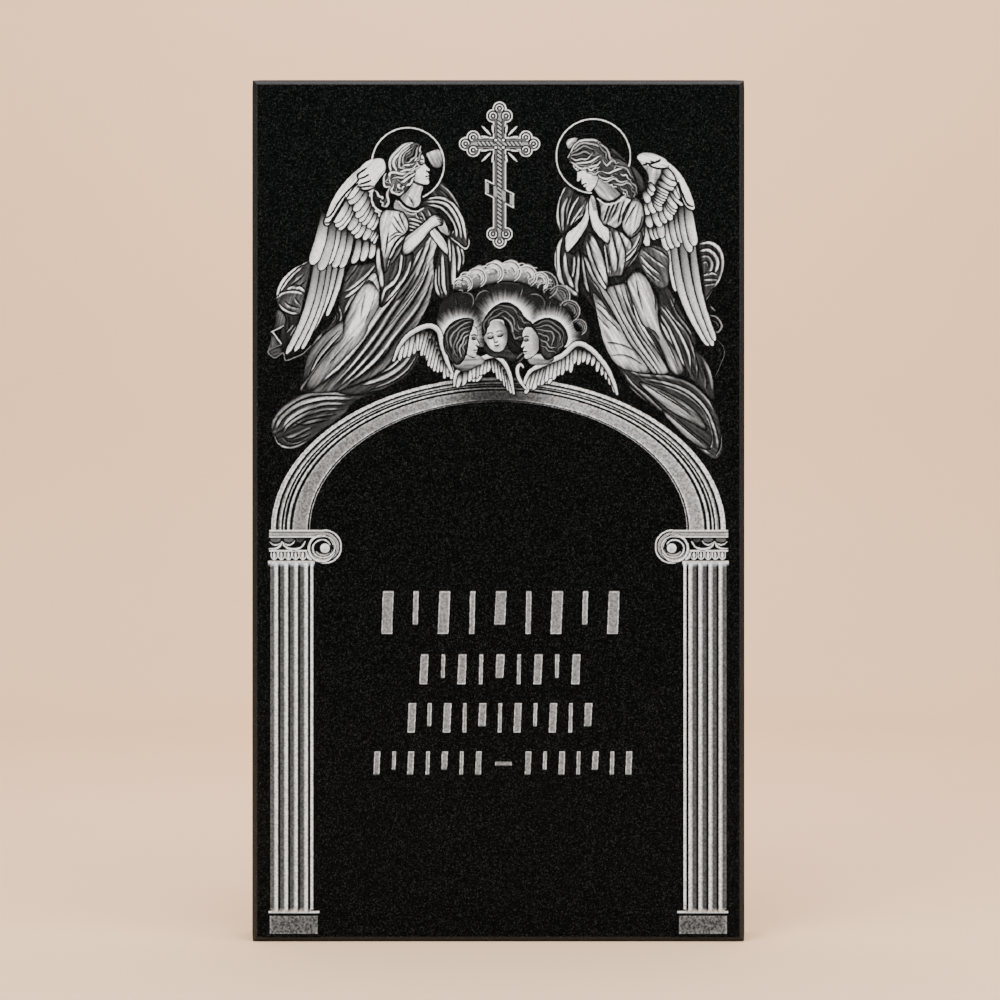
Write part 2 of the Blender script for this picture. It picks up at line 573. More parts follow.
leftWing = {
    "primaries": [((-189, 826), (-209, 761), 8, 2), ((-197, 826), (-229, 738), 8, 4),
        ((-205, 826), (-239, 721), 9, 5), ((-212, 826), (-248, 718), 10, 6),
        ((-220, 830), (-258, 715), 11, 7)],
    "secondaries": [((-152, 854), (-156, 831), 7, 1), ((-161, 855), (-166, 828), 8, 1.5),
        ((-170, 858), (-177, 825), 8, 2), ((-179, 866), (-192, 820), 9, 2), ((-187, 870), (-200, 820), 9, 2),
        ((-194, 874), (-208, 824), 9, 2), ((-201, 880), (-217, 817), 12, 2.5),
        ((-211, 886), (-227, 824), 13, 2.5)],
    "coverts": [((-146, 862), (-152, 849), 3, 0), ((-148, 865), (-155, 852), 3, 0),
        ((-151, 867), (-158, 855), 3, 0), ((-155, 874), (-164, 854), 8, 1), ((-162, 877), (-174, 856), 8, 1),
        ((-167, 880), (-178, 861), 7, 1), ((-171, 887), (-182, 866), 9, 1), ((-176, 893), (-194, 866), 5, 2),
        ((-178, 899), (-198, 870), 8, 2), ((-183, 904), (-200, 875), 9, 2)],
    "scapulars": [((-146, 883), (-154, 866), 6, 0), ((-149, 888), (-158, 868), 7, 0),
        ((-153, 895), (-165, 872), 8, 1), ((-156, 900), (-169, 876), 7, 1), ((-157, 907), (-173, 881), 9, 1),
        ((-160, 914), (-176, 889), 9, 1), ((-164, 920), (-182, 898), 10, 1),
        ((-169, 925), (-185, 904), 9, 1)],
}
leftBand = dict(outline=[(-150, 951), (-162, 947), (-174, 939), (-187, 926), (-197, 913), (-205, 898),
    (-210, 884), (-212.5, 875), (-209, 871.5), (-203, 875), (-195, 887), (-186, 903), (-176, 918),
    (-166, 927), (-156, 936)],
    base=0.93, rounded=2, fall=0.3, edge=1.2)
leftBandLines = [[(-210, 881), (-203, 886), (-195, 899), (-186, 911), (-175, 922), (-169, 929)],
    [(-211, 875), (-205, 876), (-198, 886), (-190, 899), (-186, 907)],
    [(-160, 942), (-166, 938), (-171, 934), (-171, 929)],
    [(-158, 934), (-163, 931), (-169, 929)],
    [(-155, 927), (-162, 924), (-169, 922)],
    [(-172, 919), (-165, 919), (-158, 920), (-152, 920)],
    [(-168, 916), (-164, 914.5), (-158, 915), (-151, 918)]]
leftSash = [
    dict(outline=[(-264, 768), (-240, 764), (-226, 744), (-228, 728), (-246, 714), (-262, 716), (-266, 730),
        (-264, 748)], base=0.2, slope=(-0.1, 0.1), edge=0,
        lights=[([(-243, 762), (-246, 748), (-254, 738)], 3, 0.3),
        ([(-236, 756), (-242, 740), (-252, 726)], 3, 0.26),
        ([(-256, 762), (-256, 750), (-260, 742)], 3, 0.3)]),
    dict(gain=1.6, outline=[(-228, 829), (-240, 825), (-252, 818), (-264, 806), (-270, 792), (-270, 779),
        (-265, 770), (-257, 765), (-246, 763), (-238, 768), (-234, 785), (-230, 805)], base=0.38,
        lights=[([(-230, 828), (-244, 823), (-258, 810), (-267, 795), (-270, 780)], 5, 0.8),
        ([(-238, 822), (-251, 811), (-261, 799), (-266, 790)], 4.5, 0.55),
        ([(-236, 814), (-246, 806), (-254, 799)], 4, 0.4), ([(-234, 806), (-243, 800), (-250, 798)], 3, 0.3),
        ([(-258, 794), (-250, 797), (-241, 796), (-235, 791)], 4, 0.85),
        ([(-270, 783), (-265, 788), (-256, 791), (-245, 791), (-236, 788)], 3.4, 0.95),
        ([(-268, 778), (-262, 771), (-253, 766), (-243, 765)], 3, 0.6),
        ([(-261, 780), (-256, 774), (-248, 771), (-241, 771)], 4, 0.4),
        ([(-248, 784), (-246, 779), (-241, 775)], 3, 0.45)]),
    dict(outline=[(-270, 770), (-262, 766), (-258, 757), (-261, 749), (-270, 745), (-277, 741), (-272, 753)],
        base=0.36, slope=(0.2, 0.1)),
    dict(outline=[(-276, 741), (-264, 728), (-266, 722), (-280, 719), (-279, 728), (-277, 736)], base=0.36,
        slope=(-0.2, 0)),
    dict(outline=[(-280, 718), (-272, 711), (-264, 716), (-263, 723), (-270, 724)], base=0.32),
]


def paintLeftWing():
    paintAs("left_wing")
    for part in leftSash:
        cloth(**part)
    ink([(-277, 742), (-261, 750)], 1.1, 0.6, 0.3)
    ink([(-275, 743), (-264, 728)], 1.2, 0.75, 0.3)
    ink([(-264, 727), (-280, 719), (-272, 711), (-262, 717), (-259, 708), (-249, 711), (-238, 716),
        (-228, 726)], 1.1, 0.42, 0.3)
    for shift in (0, 4, 8):
        ink([(-257 + shift, 742 - shift), (-249 + shift * 0.6, 751 - shift * 0.5)], 1.2, 0.5)
    cloth([(-150, 920), (-180, 915), (-205, 885), (-222, 850), (-226, 832), (-240, 770), (-252, 722),
        (-236, 728), (-212, 775), (-190, 822), (-150, 838), (-142, 870)], 0.2, edge=0)
    cloth([(-151, 921), (-154, 908), (-153, 898), (-148, 892), (-141, 888), (-143, 880), (-154, 884),
        (-166, 900), (-172, 918)], 0.72, edge=0)
    for name, row in leftWing.items():
        plume(row, 0.95, 0.5 if name == "primaries" else 0.22, 0.4 if name == "primaries" else 0.0)
    ink([(-153, 917), (-154, 905), (-152, 897), (-147, 891.5), (-141, 889)], 1.7, 0.9, 0.4)
    cloth(**leftBand)
    cloth([(-137, 945), (-141, 953), (-152, 953), (-163, 948), (-171, 938), (-172, 928), (-169, 920),
        (-161, 914), (-153, 918), (-144, 930), (-138, 938)], 0.93, slope=(-0.25, 0.1), rounded=3, fall=0.35,
        edge=0)
    for line in leftBandLines:
        ink(line, 1.9, 0.04, 0.6)


leftRobe = {
    "under": dict(outline=[(-140, 880), (-114, 898), (-84, 906), (-58, 900), (-38, 862), (-42, 830),
        (-56, 794), (-82, 780), (-104, 742), (-126, 712), (-152, 690), (-200, 672), (-236, 674), (-205, 722),
        (-192, 750), (-190, 790), (-178, 824), (-162, 825), (-150, 829)], base=0.2, edge=0),
    "far wing": dict(outline=[(-88, 957), (-85, 962), (-70, 964), (-68, 945), (-78, 942)], base=0.65,
        slope=(0.1, 0.4)),
    "veil": dict(gain=1.35, outline=[(-84, 906), (-72, 927), (-58, 914), (-46, 893), (-39, 870), (-37, 856),
        (-45, 862), (-54, 884), (-66, 899)], base=0.30,
        lights=[([(-72, 924), (-57, 910), (-45, 888), (-39, 864)], 3, 0.5),
        ([(-74, 918), (-60, 904), (-48, 884), (-42, 866)], 3, 0.4),
        ([(-78, 912), (-66, 900), (-55, 886)], 3, 0.35)]),
    "swirl": dict(edge=0.5, outline=[(-150, 667), (-185, 669), (-212, 672), (-238, 668), (-258, 657),
        (-270, 643), (-277, 630), (-274, 616), (-267, 604), (-255, 600), (-242, 602), (-230, 610),
        (-215, 622), (-200, 632), (-185, 645), (-178, 655), (-165, 662)], base=0.30,
        lights=[([(-152, 667), (-185, 667), (-215, 668), (-240, 663), (-260, 650), (-272, 636), (-276, 620)],
        6, 0.6), ([(-172, 661), (-208, 662), (-236, 657), (-254, 647), (-266, 635), (-271, 622)], 6, 0.75),
        ([(-182, 655), (-212, 655), (-236, 648), (-254, 637), (-264, 624)], 5.5, 0.7),
        ([(-188, 649), (-215, 648), (-238, 641), (-255, 630), (-263, 617)], 5.5, 0.6),
        ([(-196, 643), (-220, 640), (-240, 634), (-254, 624)], 4, 0.45),
        ([(-204, 637), (-222, 635), (-237, 632), (-250, 634)], 5.5, 0.5),
        ([(-226, 627), (-238, 622), (-250, 616), (-260, 614)], 5, 0.5),
        ([(-228, 619), (-240, 615), (-252, 611)], 3.5, 0.4),
        ([(-273, 618), (-268, 607), (-257, 602), (-244, 604), (-230, 612)], 3.4, 0.7),
        ([(-264, 616), (-258, 609), (-248, 607), (-236, 611)], 2.6, 0.5)]),
    "back": dict(gain=1.35, edge=0, outline=[(-178, 824), (-164, 824), (-150, 827), (-150, 812), (-165, 796),
        (-182, 775), (-190, 752), (-190, 736), (-205, 722), (-222, 698), (-238, 671), (-240, 682),
        (-236, 702), (-230, 722), (-216, 742), (-205, 752), (-196, 770), (-192, 788), (-186, 810)], base=0.3,
        slope=(0, 0.1), lights=[([(-148, 826), (-160, 812), (-176, 798), (-190, 790)], 4, 0.6),
        ([(-150, 816), (-164, 802), (-178, 790), (-188, 783)], 4, 0.85),
        ([(-158, 806), (-170, 793), (-180, 780), (-188, 764)], 4, 0.9),
        ([(-170, 826), (-182, 812), (-188, 802)], 5, 0.35),
        ([(-196, 778), (-191, 764), (-194, 752), (-202, 746)], 2.4, 0.5),
        ([(-203, 770), (-198, 760), (-203, 751)], 2.4, 0.36),
        ([(-200, 774), (-195, 762), (-199, 751)], 2, 0.3),
        ([(-214, 742), (-226, 722), (-234, 700), (-238, 678)], 7, 0.42),
        ([(-206, 735), (-218, 714), (-230, 690), (-236, 676)], 6, 0.5)]),
    "panel": dict(edge=0.7, outline=[(-189, 756), (-203, 747), (-217, 735), (-227, 723), (-233, 711),
        (-237, 694), (-239, 672), (-231, 682), (-217, 703), (-203, 720), (-189, 737)], base=0.46,
        slope=(0.1, 0.15), rounded=4, fall=0.5,
        lights=[([(-193, 746), (-209, 731), (-223, 712), (-233, 686)], 3.4, 0.55)],
        creases=[[(-190, 741), (-204, 726), (-219, 707), (-234, 680)]], reach=3),
    "skirt": dict(edge=0.5, outline=[(-108, 838), (-95, 851), (-84, 864), (-77, 862), (-74, 850), (-77, 840),
        (-79, 828), (-78, 810), (-80, 795), (-84, 778), (-92, 762), (-104, 742), (-118, 728), (-124, 714),
        (-134, 701), (-152, 688), (-178, 676), (-194, 670), (-240, 670), (-230, 690), (-205, 722),
        (-190, 735), (-188, 752), (-178, 780), (-165, 800), (-150, 815), (-140, 790), (-120, 815)],
        base=0.62, reach=9.5, slope=(0.0, 0.42), creases=[[(-99, 840), (-104, 826), (-116, 800), (-132, 776),
        (-150, 750), (-166, 728), (-188, 702), (-208, 685), (-228, 671)], [(-88, 852), (-95, 836),
        (-108, 810), (-124, 786), (-138, 766), (-154, 744), (-174, 718), (-196, 693), (-216, 671)],
        [(-81, 858), (-87, 838), (-98, 810), (-112, 788), (-128, 765), (-143, 742), (-162, 717), (-184, 692),
        (-206, 671)], [(-83, 826), (-91, 803), (-104, 780), (-121, 757), (-138, 734), (-154, 713),
        (-174, 692), (-198, 671)], [(-80, 812), (-87, 790), (-99, 768), (-114, 748), (-128, 730),
        (-140, 712), (-154, 699), (-174, 684), (-192, 672)], [(-100, 815), (-112, 795), (-126, 778)],
        [(-135, 725), (-148, 706), (-166, 690), (-186, 676)]],
        lights=[([(-102, 826), (-112, 808), (-128, 785), (-142, 766), (-158, 742), (-178, 715), (-200, 691)],
        3.4, 0.95), ([(-88, 830), (-94, 814), (-106, 794), (-120, 774)], 6, 0.75),
        ([(-90, 812), (-104, 790), (-120, 768), (-138, 744)], 3, 0.95)]),
    "arm shadow": dict(edge=0, grain=0,
        outline=[(-112, 838), (-96, 852), (-84, 866), (-79, 865), (-90, 848), (-103, 834)], base=0.34,
        fall=0.2),
    "leg": dict(edge=0, outline=[(-158, 806), (-148, 797), (-142, 780), (-150, 764), (-158, 750),
        (-160, 742), (-169, 729), (-186, 711), (-206, 691), (-225, 671), (-239, 671), (-231, 685),
        (-216, 706), (-200, 724), (-190, 736), (-188, 752), (-182, 770), (-171, 791)], base=0.86, rounded=8,
        fall=0.7, reach=4, slope=(0.1, 0.25), power=0.55, creases=[[(-150, 790), (-156, 770), (-163, 752)],
        [(-162, 790), (-166, 772), (-168, 756)], [(-176, 738), (-190, 722), (-206, 704)]]),
    "hem": dict(edge=0.5, outline=[(-124, 716), (-112, 716), (-99, 719), (-96, 712), (-107, 694),
        (-124, 680), (-150, 669), (-180, 666), (-194, 670), (-172, 679), (-150, 689), (-134, 700)],
        base=0.30, lights=[([(-98, 716), (-112, 696), (-132, 682), (-158, 672)], 3, 0.7),
        ([(-104, 717), (-120, 699), (-142, 686), (-170, 677)], 6, 0.8),
        ([(-115, 714), (-130, 700), (-150, 690), (-180, 675)], 3.5, 0.85),
        ([(-122, 683), (-140, 674), (-160, 669)], 2, 0.4)]),
    "inner sleeve": dict(outline=[(-72, 842), (-77, 815), (-78, 797), (-73, 784), (-62, 785), (-59, 798),
        (-60, 830), (-64, 842)], base=0.30, lights=[([(-76, 822), (-76, 800), (-71, 785)], 4, 0.85),
        ([(-72, 826), (-72, 802), (-67, 786)], 3, 0.7),
        ([(-68, 838), (-67, 815), (-66, 798), (-63, 786)], 5, 0.98),
        ([(-62, 830), (-61, 810), (-59, 794)], 3, 0.3)]),
    "far sleeve": dict(outline=[(-63, 858), (-52, 855), (-45, 847), (-41, 836), (-42, 824), (-48, 812),
        (-52, 800), (-54, 790), (-58, 800), (-61, 830)], base=0.30,
        lights=[([(-60, 857), (-59, 840), (-58, 826)], 4, 0.9),
        ([(-56, 852), (-54, 830), (-54, 808), (-54, 791)], 6, 0.98),
        ([(-50, 848), (-47, 832), (-49, 814)], 4.5, 0.9), ([(-45, 846), (-42, 834), (-43, 823)], 3.6, 0.9)]),
    "cape": dict(gain=1.35, outline=[(-96, 898), (-84, 906), (-70, 908), (-57, 903), (-46, 890), (-39, 875),
        (-36, 860), (-34, 850), (-40, 842), (-50, 849), (-60, 858), (-55, 868), (-61, 881), (-70, 890),
        (-82, 893)], base=0.30,
        lights=[([(-88, 904), (-72, 906), (-57, 900), (-46, 884), (-41, 866), (-39, 850)], 4.5, 0.85),
        ([(-91, 901), (-74, 901), (-61, 896), (-51, 882), (-46, 866), (-45, 853)], 4, 0.85),
        ([(-88, 897), (-75, 896), (-65, 890), (-56, 878), (-51, 866), (-51, 856)], 3.4, 0.8),
        ([(-80, 893), (-70, 888), (-62, 879), (-56, 868), (-56, 860)], 4.5, 0.75),
        ([(-64, 904), (-53, 896), (-43, 878), (-37, 860)], 3.4, 0.95),
        ([(-60, 859), (-50, 851), (-41, 844), (-36, 848), (-36, 864)], 3, 0.95)]),
    "far arm": dict(outline=[(-84, 869), (-77, 869), (-68, 859), (-62, 848), (-61, 836), (-68, 841),
        (-76, 851), (-83, 861)], base=0.95, rounded=3, fall=0.45),
    "breast": dict(outline=[(-80, 892), (-72, 887), (-64, 877), (-58, 864), (-61, 859), (-70, 864),
        (-76, 873), (-72, 884)], base=0.7, rounded=3, fall=0.4,
        creases=[[(-66, 880), (-62, 870), (-60, 862)]], reach=3),
    "chest": dict(outline=[(-124, 904), (-113, 893), (-98, 891), (-88, 896), (-78, 893), (-72, 884),
        (-82, 878), (-92, 870), (-106, 864), (-113, 872), (-116, 884), (-128, 893)], base=0.4,
        slope=(-0.3, 0.3), reach=3, creases=[[(-112, 889), (-104, 887), (-96, 890)],
        [(-94, 890), (-90, 884), (-88, 878)], [(-100, 890), (-98, 884), (-95, 879)],
        [(-86, 893), (-82, 886), (-80, 881)]], lights=[([(-110, 881), (-101, 879), (-91, 875)], 3, 0.95),
        ([(-110, 876), (-101, 874), (-93, 871)], 3, 0.95),
        ([(-110, 872), (-103, 870), (-97, 868)], 2.6, 0.9), ([(-108, 867), (-103, 866)], 2.4, 0.85),
        ([(-98, 883), (-92, 880)], 2, 0.8)]),
    "neck": dict(outline=[(-120, 905), (-112, 914), (-104, 926), (-92, 921), (-94, 910), (-96, 898),
        (-107, 893)], base=0.74, rounded=3.5, fall=0.4, slope=(0.3, -0.2), edge=0, reach=4, power=0.6,
        creases=[[(-108, 927), (-98, 922), (-90, 920)], [(-110, 908), (-105, 900), (-103, 894)]]),
    "sleeve": dict(outline=[(-147, 852), (-140, 842), (-128, 856), (-113, 864), (-111, 850), (-116, 838),
        (-104, 838), (-105, 826), (-112, 808), (-125, 790), (-140, 774), (-145, 776), (-144, 795),
        (-148, 815), (-149, 835)], base=0.30,
        lights=[([(-146, 846), (-146, 828), (-143, 810), (-141, 795)], 7, 0.92),
        ([(-114, 860), (-128, 846), (-135, 832), (-138, 815)], 9, 0.85),
        ([(-116, 850), (-124, 836), (-132, 824)], 4, 0.5), ([(-126, 842), (-134, 830)], 3, 0.98),
        ([(-117, 842), (-119, 822), (-126, 804), (-138, 793), (-143, 775)], 4.5, 0.98),
        ([(-122, 830), (-126, 815), (-134, 803)], 6, 0.45),
        ([(-113, 836), (-117, 820), (-124, 806)], 5, 0.4),
        ([(-106, 830), (-111, 813), (-122, 797), (-140, 776)], 4.5, 0.95)]),
    "shoulder": dict(outline=[(-140, 890), (-128, 891), (-116, 888), (-111, 880), (-109, 870), (-113, 862),
        (-121, 855), (-129, 843), (-134, 830), (-138, 814), (-141, 832), (-144, 858), (-145, 876)],
        base=0.97, rounded=6, fall=0.55, reach=3.2,
        creases=[[(-112, 863), (-122, 856), (-130, 843), (-136, 824)],
        [(-134, 864), (-136, 850), (-138, 836)], [(-128, 884), (-121, 873), (-114, 863)],
        [(-122, 888), (-117, 876), (-112, 865)], [(-130, 876), (-123, 866), (-115, 861)],
        [(-133, 857), (-124, 863), (-115, 862)], [(-136, 849), (-126, 858), (-116, 861)]]),
    "near arm": dict(outline=[(-117, 837), (-107, 838), (-95, 850), (-84, 864), (-75, 871), (-68, 873),
        (-68, 880), (-73, 884), (-80, 885), (-90, 876), (-104, 865), (-114, 856)], base=1.0, rounded=5,
        fall=0.65, slope=(0, 0.1)),
}
leftHair = [
    ([(-104, 972), (-118, 968), (-128, 957), (-132, 944), (-131, 936)], 4, 0.85),
    ([(-106, 971), (-117, 964), (-125, 954), (-127, 944), (-123, 937)], 4.5, 0.9),
    ([(-108, 969), (-116, 960), (-121, 951), (-120, 944), (-113, 942)], 3.6, 0.75),
    ([(-104, 968), (-112, 960), (-117, 952), (-115, 947), (-108, 947)], 2.8, 0.6),
    ([(-100, 970), (-104, 961), (-110, 955), (-113, 950)], 3, 0.4),
    ([(-97, 968), (-101, 957), (-106, 951), (-113, 949)], 2.8, 0.65),
    ([(-96, 963), (-99, 952), (-106, 946), (-117, 944)], 3, 0.9),
    ([(-96, 955), (-101, 947), (-108, 943)], 2.6, 0.5),
    ([(-98, 946), (-106, 941), (-116, 938), (-128, 938)], 3, 0.9),
    ([(-99, 942), (-108, 937), (-120, 935), (-130, 936), (-134, 930), (-130, 923)], 3.6, 0.92),
    ([(-102, 938), (-112, 933), (-120, 930), (-129, 930)], 3.2, 0.75),
    ([(-101, 936), (-108, 930), (-116, 926), (-121, 920), (-117, 915)], 3.6, 0.9),
    ([(-101, 931), (-107, 924), (-114, 920), (-119, 917)], 3, 0.9),
    ([(-108, 926), (-116, 922), (-120, 925)], 2.4, 0.5),
    ([(-136, 935), (-140, 927), (-137, 920), (-130, 918)], 3, 0.85),
    ([(-133, 932), (-136, 926), (-132, 921)], 2.4, 0.6),
    ([(-128, 922), (-129, 914), (-123, 910), (-115, 914)], 3.2, 0.85),
    ([(-124, 919), (-124, 914), (-118, 913)], 2.2, 0.6),
    ([(-131, 918), (-136, 909), (-133, 900), (-137, 896), (-142, 900)], 3.2, 0.8),
    ([(-143, 903), (-139, 894)], 2.4, 0.75), ([(-151, 915), (-143, 907), (-140, 905)], 3, 0.85),
    ([(-99, 950), (-97, 944), (-101, 939)], 2.2, 0.85), ([(-95, 969), (-95, 960), (-98, 951)], 2.6, 0.75),
    ([(-94, 963), (-96, 954), (-100, 948)], 2.4, 0.6),
]


def paintLeftAngel():
    paintAs("left_angel")
    for part in leftRobe.values():
        cloth(**part)
    ink([(-121, 905), (-112, 896), (-100, 892), (-92, 896)], 2.0, 0.03, 0.3)
    ink([(-122, 902), (-113, 893), (-101, 889), (-91, 893)], 1.4, 0.9, 0.3)
    for k in range(3):
        ink([(-76 + 1.5 * k, 883 - 3 * k), (-71 + k, 881 - 3 * k), (-69, 878 - 2 * k)], 0.9, 0.3)
    paintProfile((-84, 922), 50, 12, 1)
    cloth([(-95, 970), (-105, 974), (-120, 970), (-131, 958), (-134, 945), (-133, 937), (-140, 930),
        (-140, 922), (-134, 916), (-138, 906), (-142, 900), (-138, 894), (-132, 898), (-132, 910),
        (-122, 908), (-112, 914), (-106, 922), (-102, 932), (-99, 945), (-96, 958)], 0.4)
    locks(leftHair, 1.08)
    paintHalo(-110, 947, 44, -66, 178)


# right angel
rightWing = {
    "primaries": [((206, 850), (216, 791), 8, -1), ((213, 852), (256, 725), 11, -10),
        ((224, 852), (261.5, 725), 12, -8), ((236, 854), (264, 731), 10, -6)],
    "secondaries": [((199, 874), (206, 841), 8, -1), ((205, 878), (212, 843), 8, -1.5),
        ((210, 884), (219, 845), 9, -1.5), ((217, 888), (224, 850), 8, -1), ((222, 897), (234, 839), 10, -2),
        ((230, 900), (239, 847), 11, -1)],
    "coverts": [((178, 872), (182, 846), 8, -1), ((184, 870), (191, 854), 7, 0),
        ((189, 870), (194, 855), 5, 0), ((196, 878), (199, 856), 9, 0), ((182, 886), (186, 869), 8, -1),
        ((189, 891), (198, 870), 9, -1), ((197, 894), (204, 874), 8, -1), ((203, 898), (211, 878), 9, -1)],
    "scapulars": [((180, 900), (182, 884), 7, -1), ((184, 906), (190, 886), 8, -1),
        ((190, 908), (198, 889), 9, -1), ((203, 901), (215, 885), 4, -1.5),
        ((204, 904), (217, 888), 4, -1.5), ((205, 910), (218, 892), 6, -1.5),
        ((208, 914), (225, 896), 4, -1.5), ((213, 919), (221, 904), 4, -1), ((216, 925), (226, 903), 4, -1)],
    "down": [((188, 903), (200, 896), 3, -0.5), ((189, 906), (202, 899), 3, -0.5),
        ((190, 909), (204, 902), 3, -0.5), ((191, 912), (206, 905), 3, -0.5),
        ((192, 916), (207, 908), 3, -0.5), ((192, 920), (208, 911), 3, -0.5),
        ((193, 926), (214, 916), 6, -1), ((198, 934), (217, 921), 8, -1.5),
        ((200, 941), (219.5, 928), 9, -1)],
    "tufts": [((178, 914), (183, 899), 8, 0), ((182, 919), (188, 908), 6, 0), ((183, 924), (190, 913), 6, 0)],
}
rightBand = dict(outline=[(200, 954), (213, 945), (223, 934), (231, 920), (237, 905), (239.5, 893),
    (236, 890.5), (230, 893), (225, 900), (221, 912), (218, 923), (212, 936), (204, 945)], base=0.95,
    rounded=2, fall=0.3, edge=1.2)
rightBandLines = [[(219, 925), (224, 910), (230, 898), (237, 895)],
    [(185, 950), (191, 949), (196, 951), (197, 953)], [(179, 948.5), (184, 947), (189, 948), (192, 950)],
    [(183, 945.5), (191, 942), (198, 941), (205, 942)], [(176, 946), (181, 946)]]
rightSash = dict(gain=1.4, outline=[(242, 852), (256, 855), (270, 846), (275, 828), (271, 808), (262, 794),
    (251, 779), (249, 795), (248, 815), (245, 838)], base=0.30,
    lights=[([(243, 849), (258, 851), (270, 842), (274, 826), (270, 808), (259, 791)], 5, 0.7),
        ([(244, 841), (256, 842), (265, 834), (267, 824), (263, 812)], 4.5, 0.65),
        ([(246, 834), (255, 834), (260, 826), (258, 817), (250, 813)], 4, 0.5),
        ([(248, 826), (253, 827), (255, 821)], 3, 0.4), ([(249, 811), (258, 814), (267, 812)], 3, 0.65),
        ([(249, 806), (258, 806), (268, 806)], 2.6, 0.5), ([(250, 799), (258, 800), (265, 801)], 2.6, 0.45),
        ([(252, 780), (258, 788), (264, 797)], 3.4, 0.5)])
rightWisps = [
    ([(258, 774), (264, 768)], 2.4, 0.5),
    ([(257, 763), (266, 760), (272, 750), (267, 742), (262, 744)], 3.4, 0.5),
    ([(260, 757), (266, 753), (268, 748)], 2.6, 0.35),
    ([(263, 735), (272, 727), (275, 716), (270, 702), (264, 688)], 1.8, 0.4),
    ([(266, 727), (270, 716), (267, 706)], 1.6, 0.3),
]


def paintRightWing():
    paintAs("right_wing")
    cloth(**rightSash)
    for line, width, light in rightWisps:
        strand(line, width, light, 0.3 * light, 0.5, 0.3)
    cloth([(180, 940), (205, 940), (224, 915), (236, 885), (240, 850), (250, 790), (258, 735), (246, 740),
        (225, 780), (205, 842), (180, 850), (178, 890)], 0.2, edge=0)
    cloth([(172, 950), (185, 948), (199, 941), (196, 931), (190, 920), (186, 908), (174, 904), (181, 918),
        (182, 934)], 0.66, slope=(0, 0.1), edge=0)
    for name, row in rightWing.items():
        plume(row, 0.95, 0.5 if name == "primaries" else 0.22, 0.35 if name == "primaries" else 0.0)
    cloth(**rightBand)
    cloth([(169, 954), (172, 959), (181, 961), (193, 958), (204, 952), (208, 944), (199, 941), (188, 944),
        (176, 946)], 0.95, rounded=3, fall=0.35, edge=0)
    for line in rightBandLines:
        ink(line, 1.9, 0.04, 0.6)


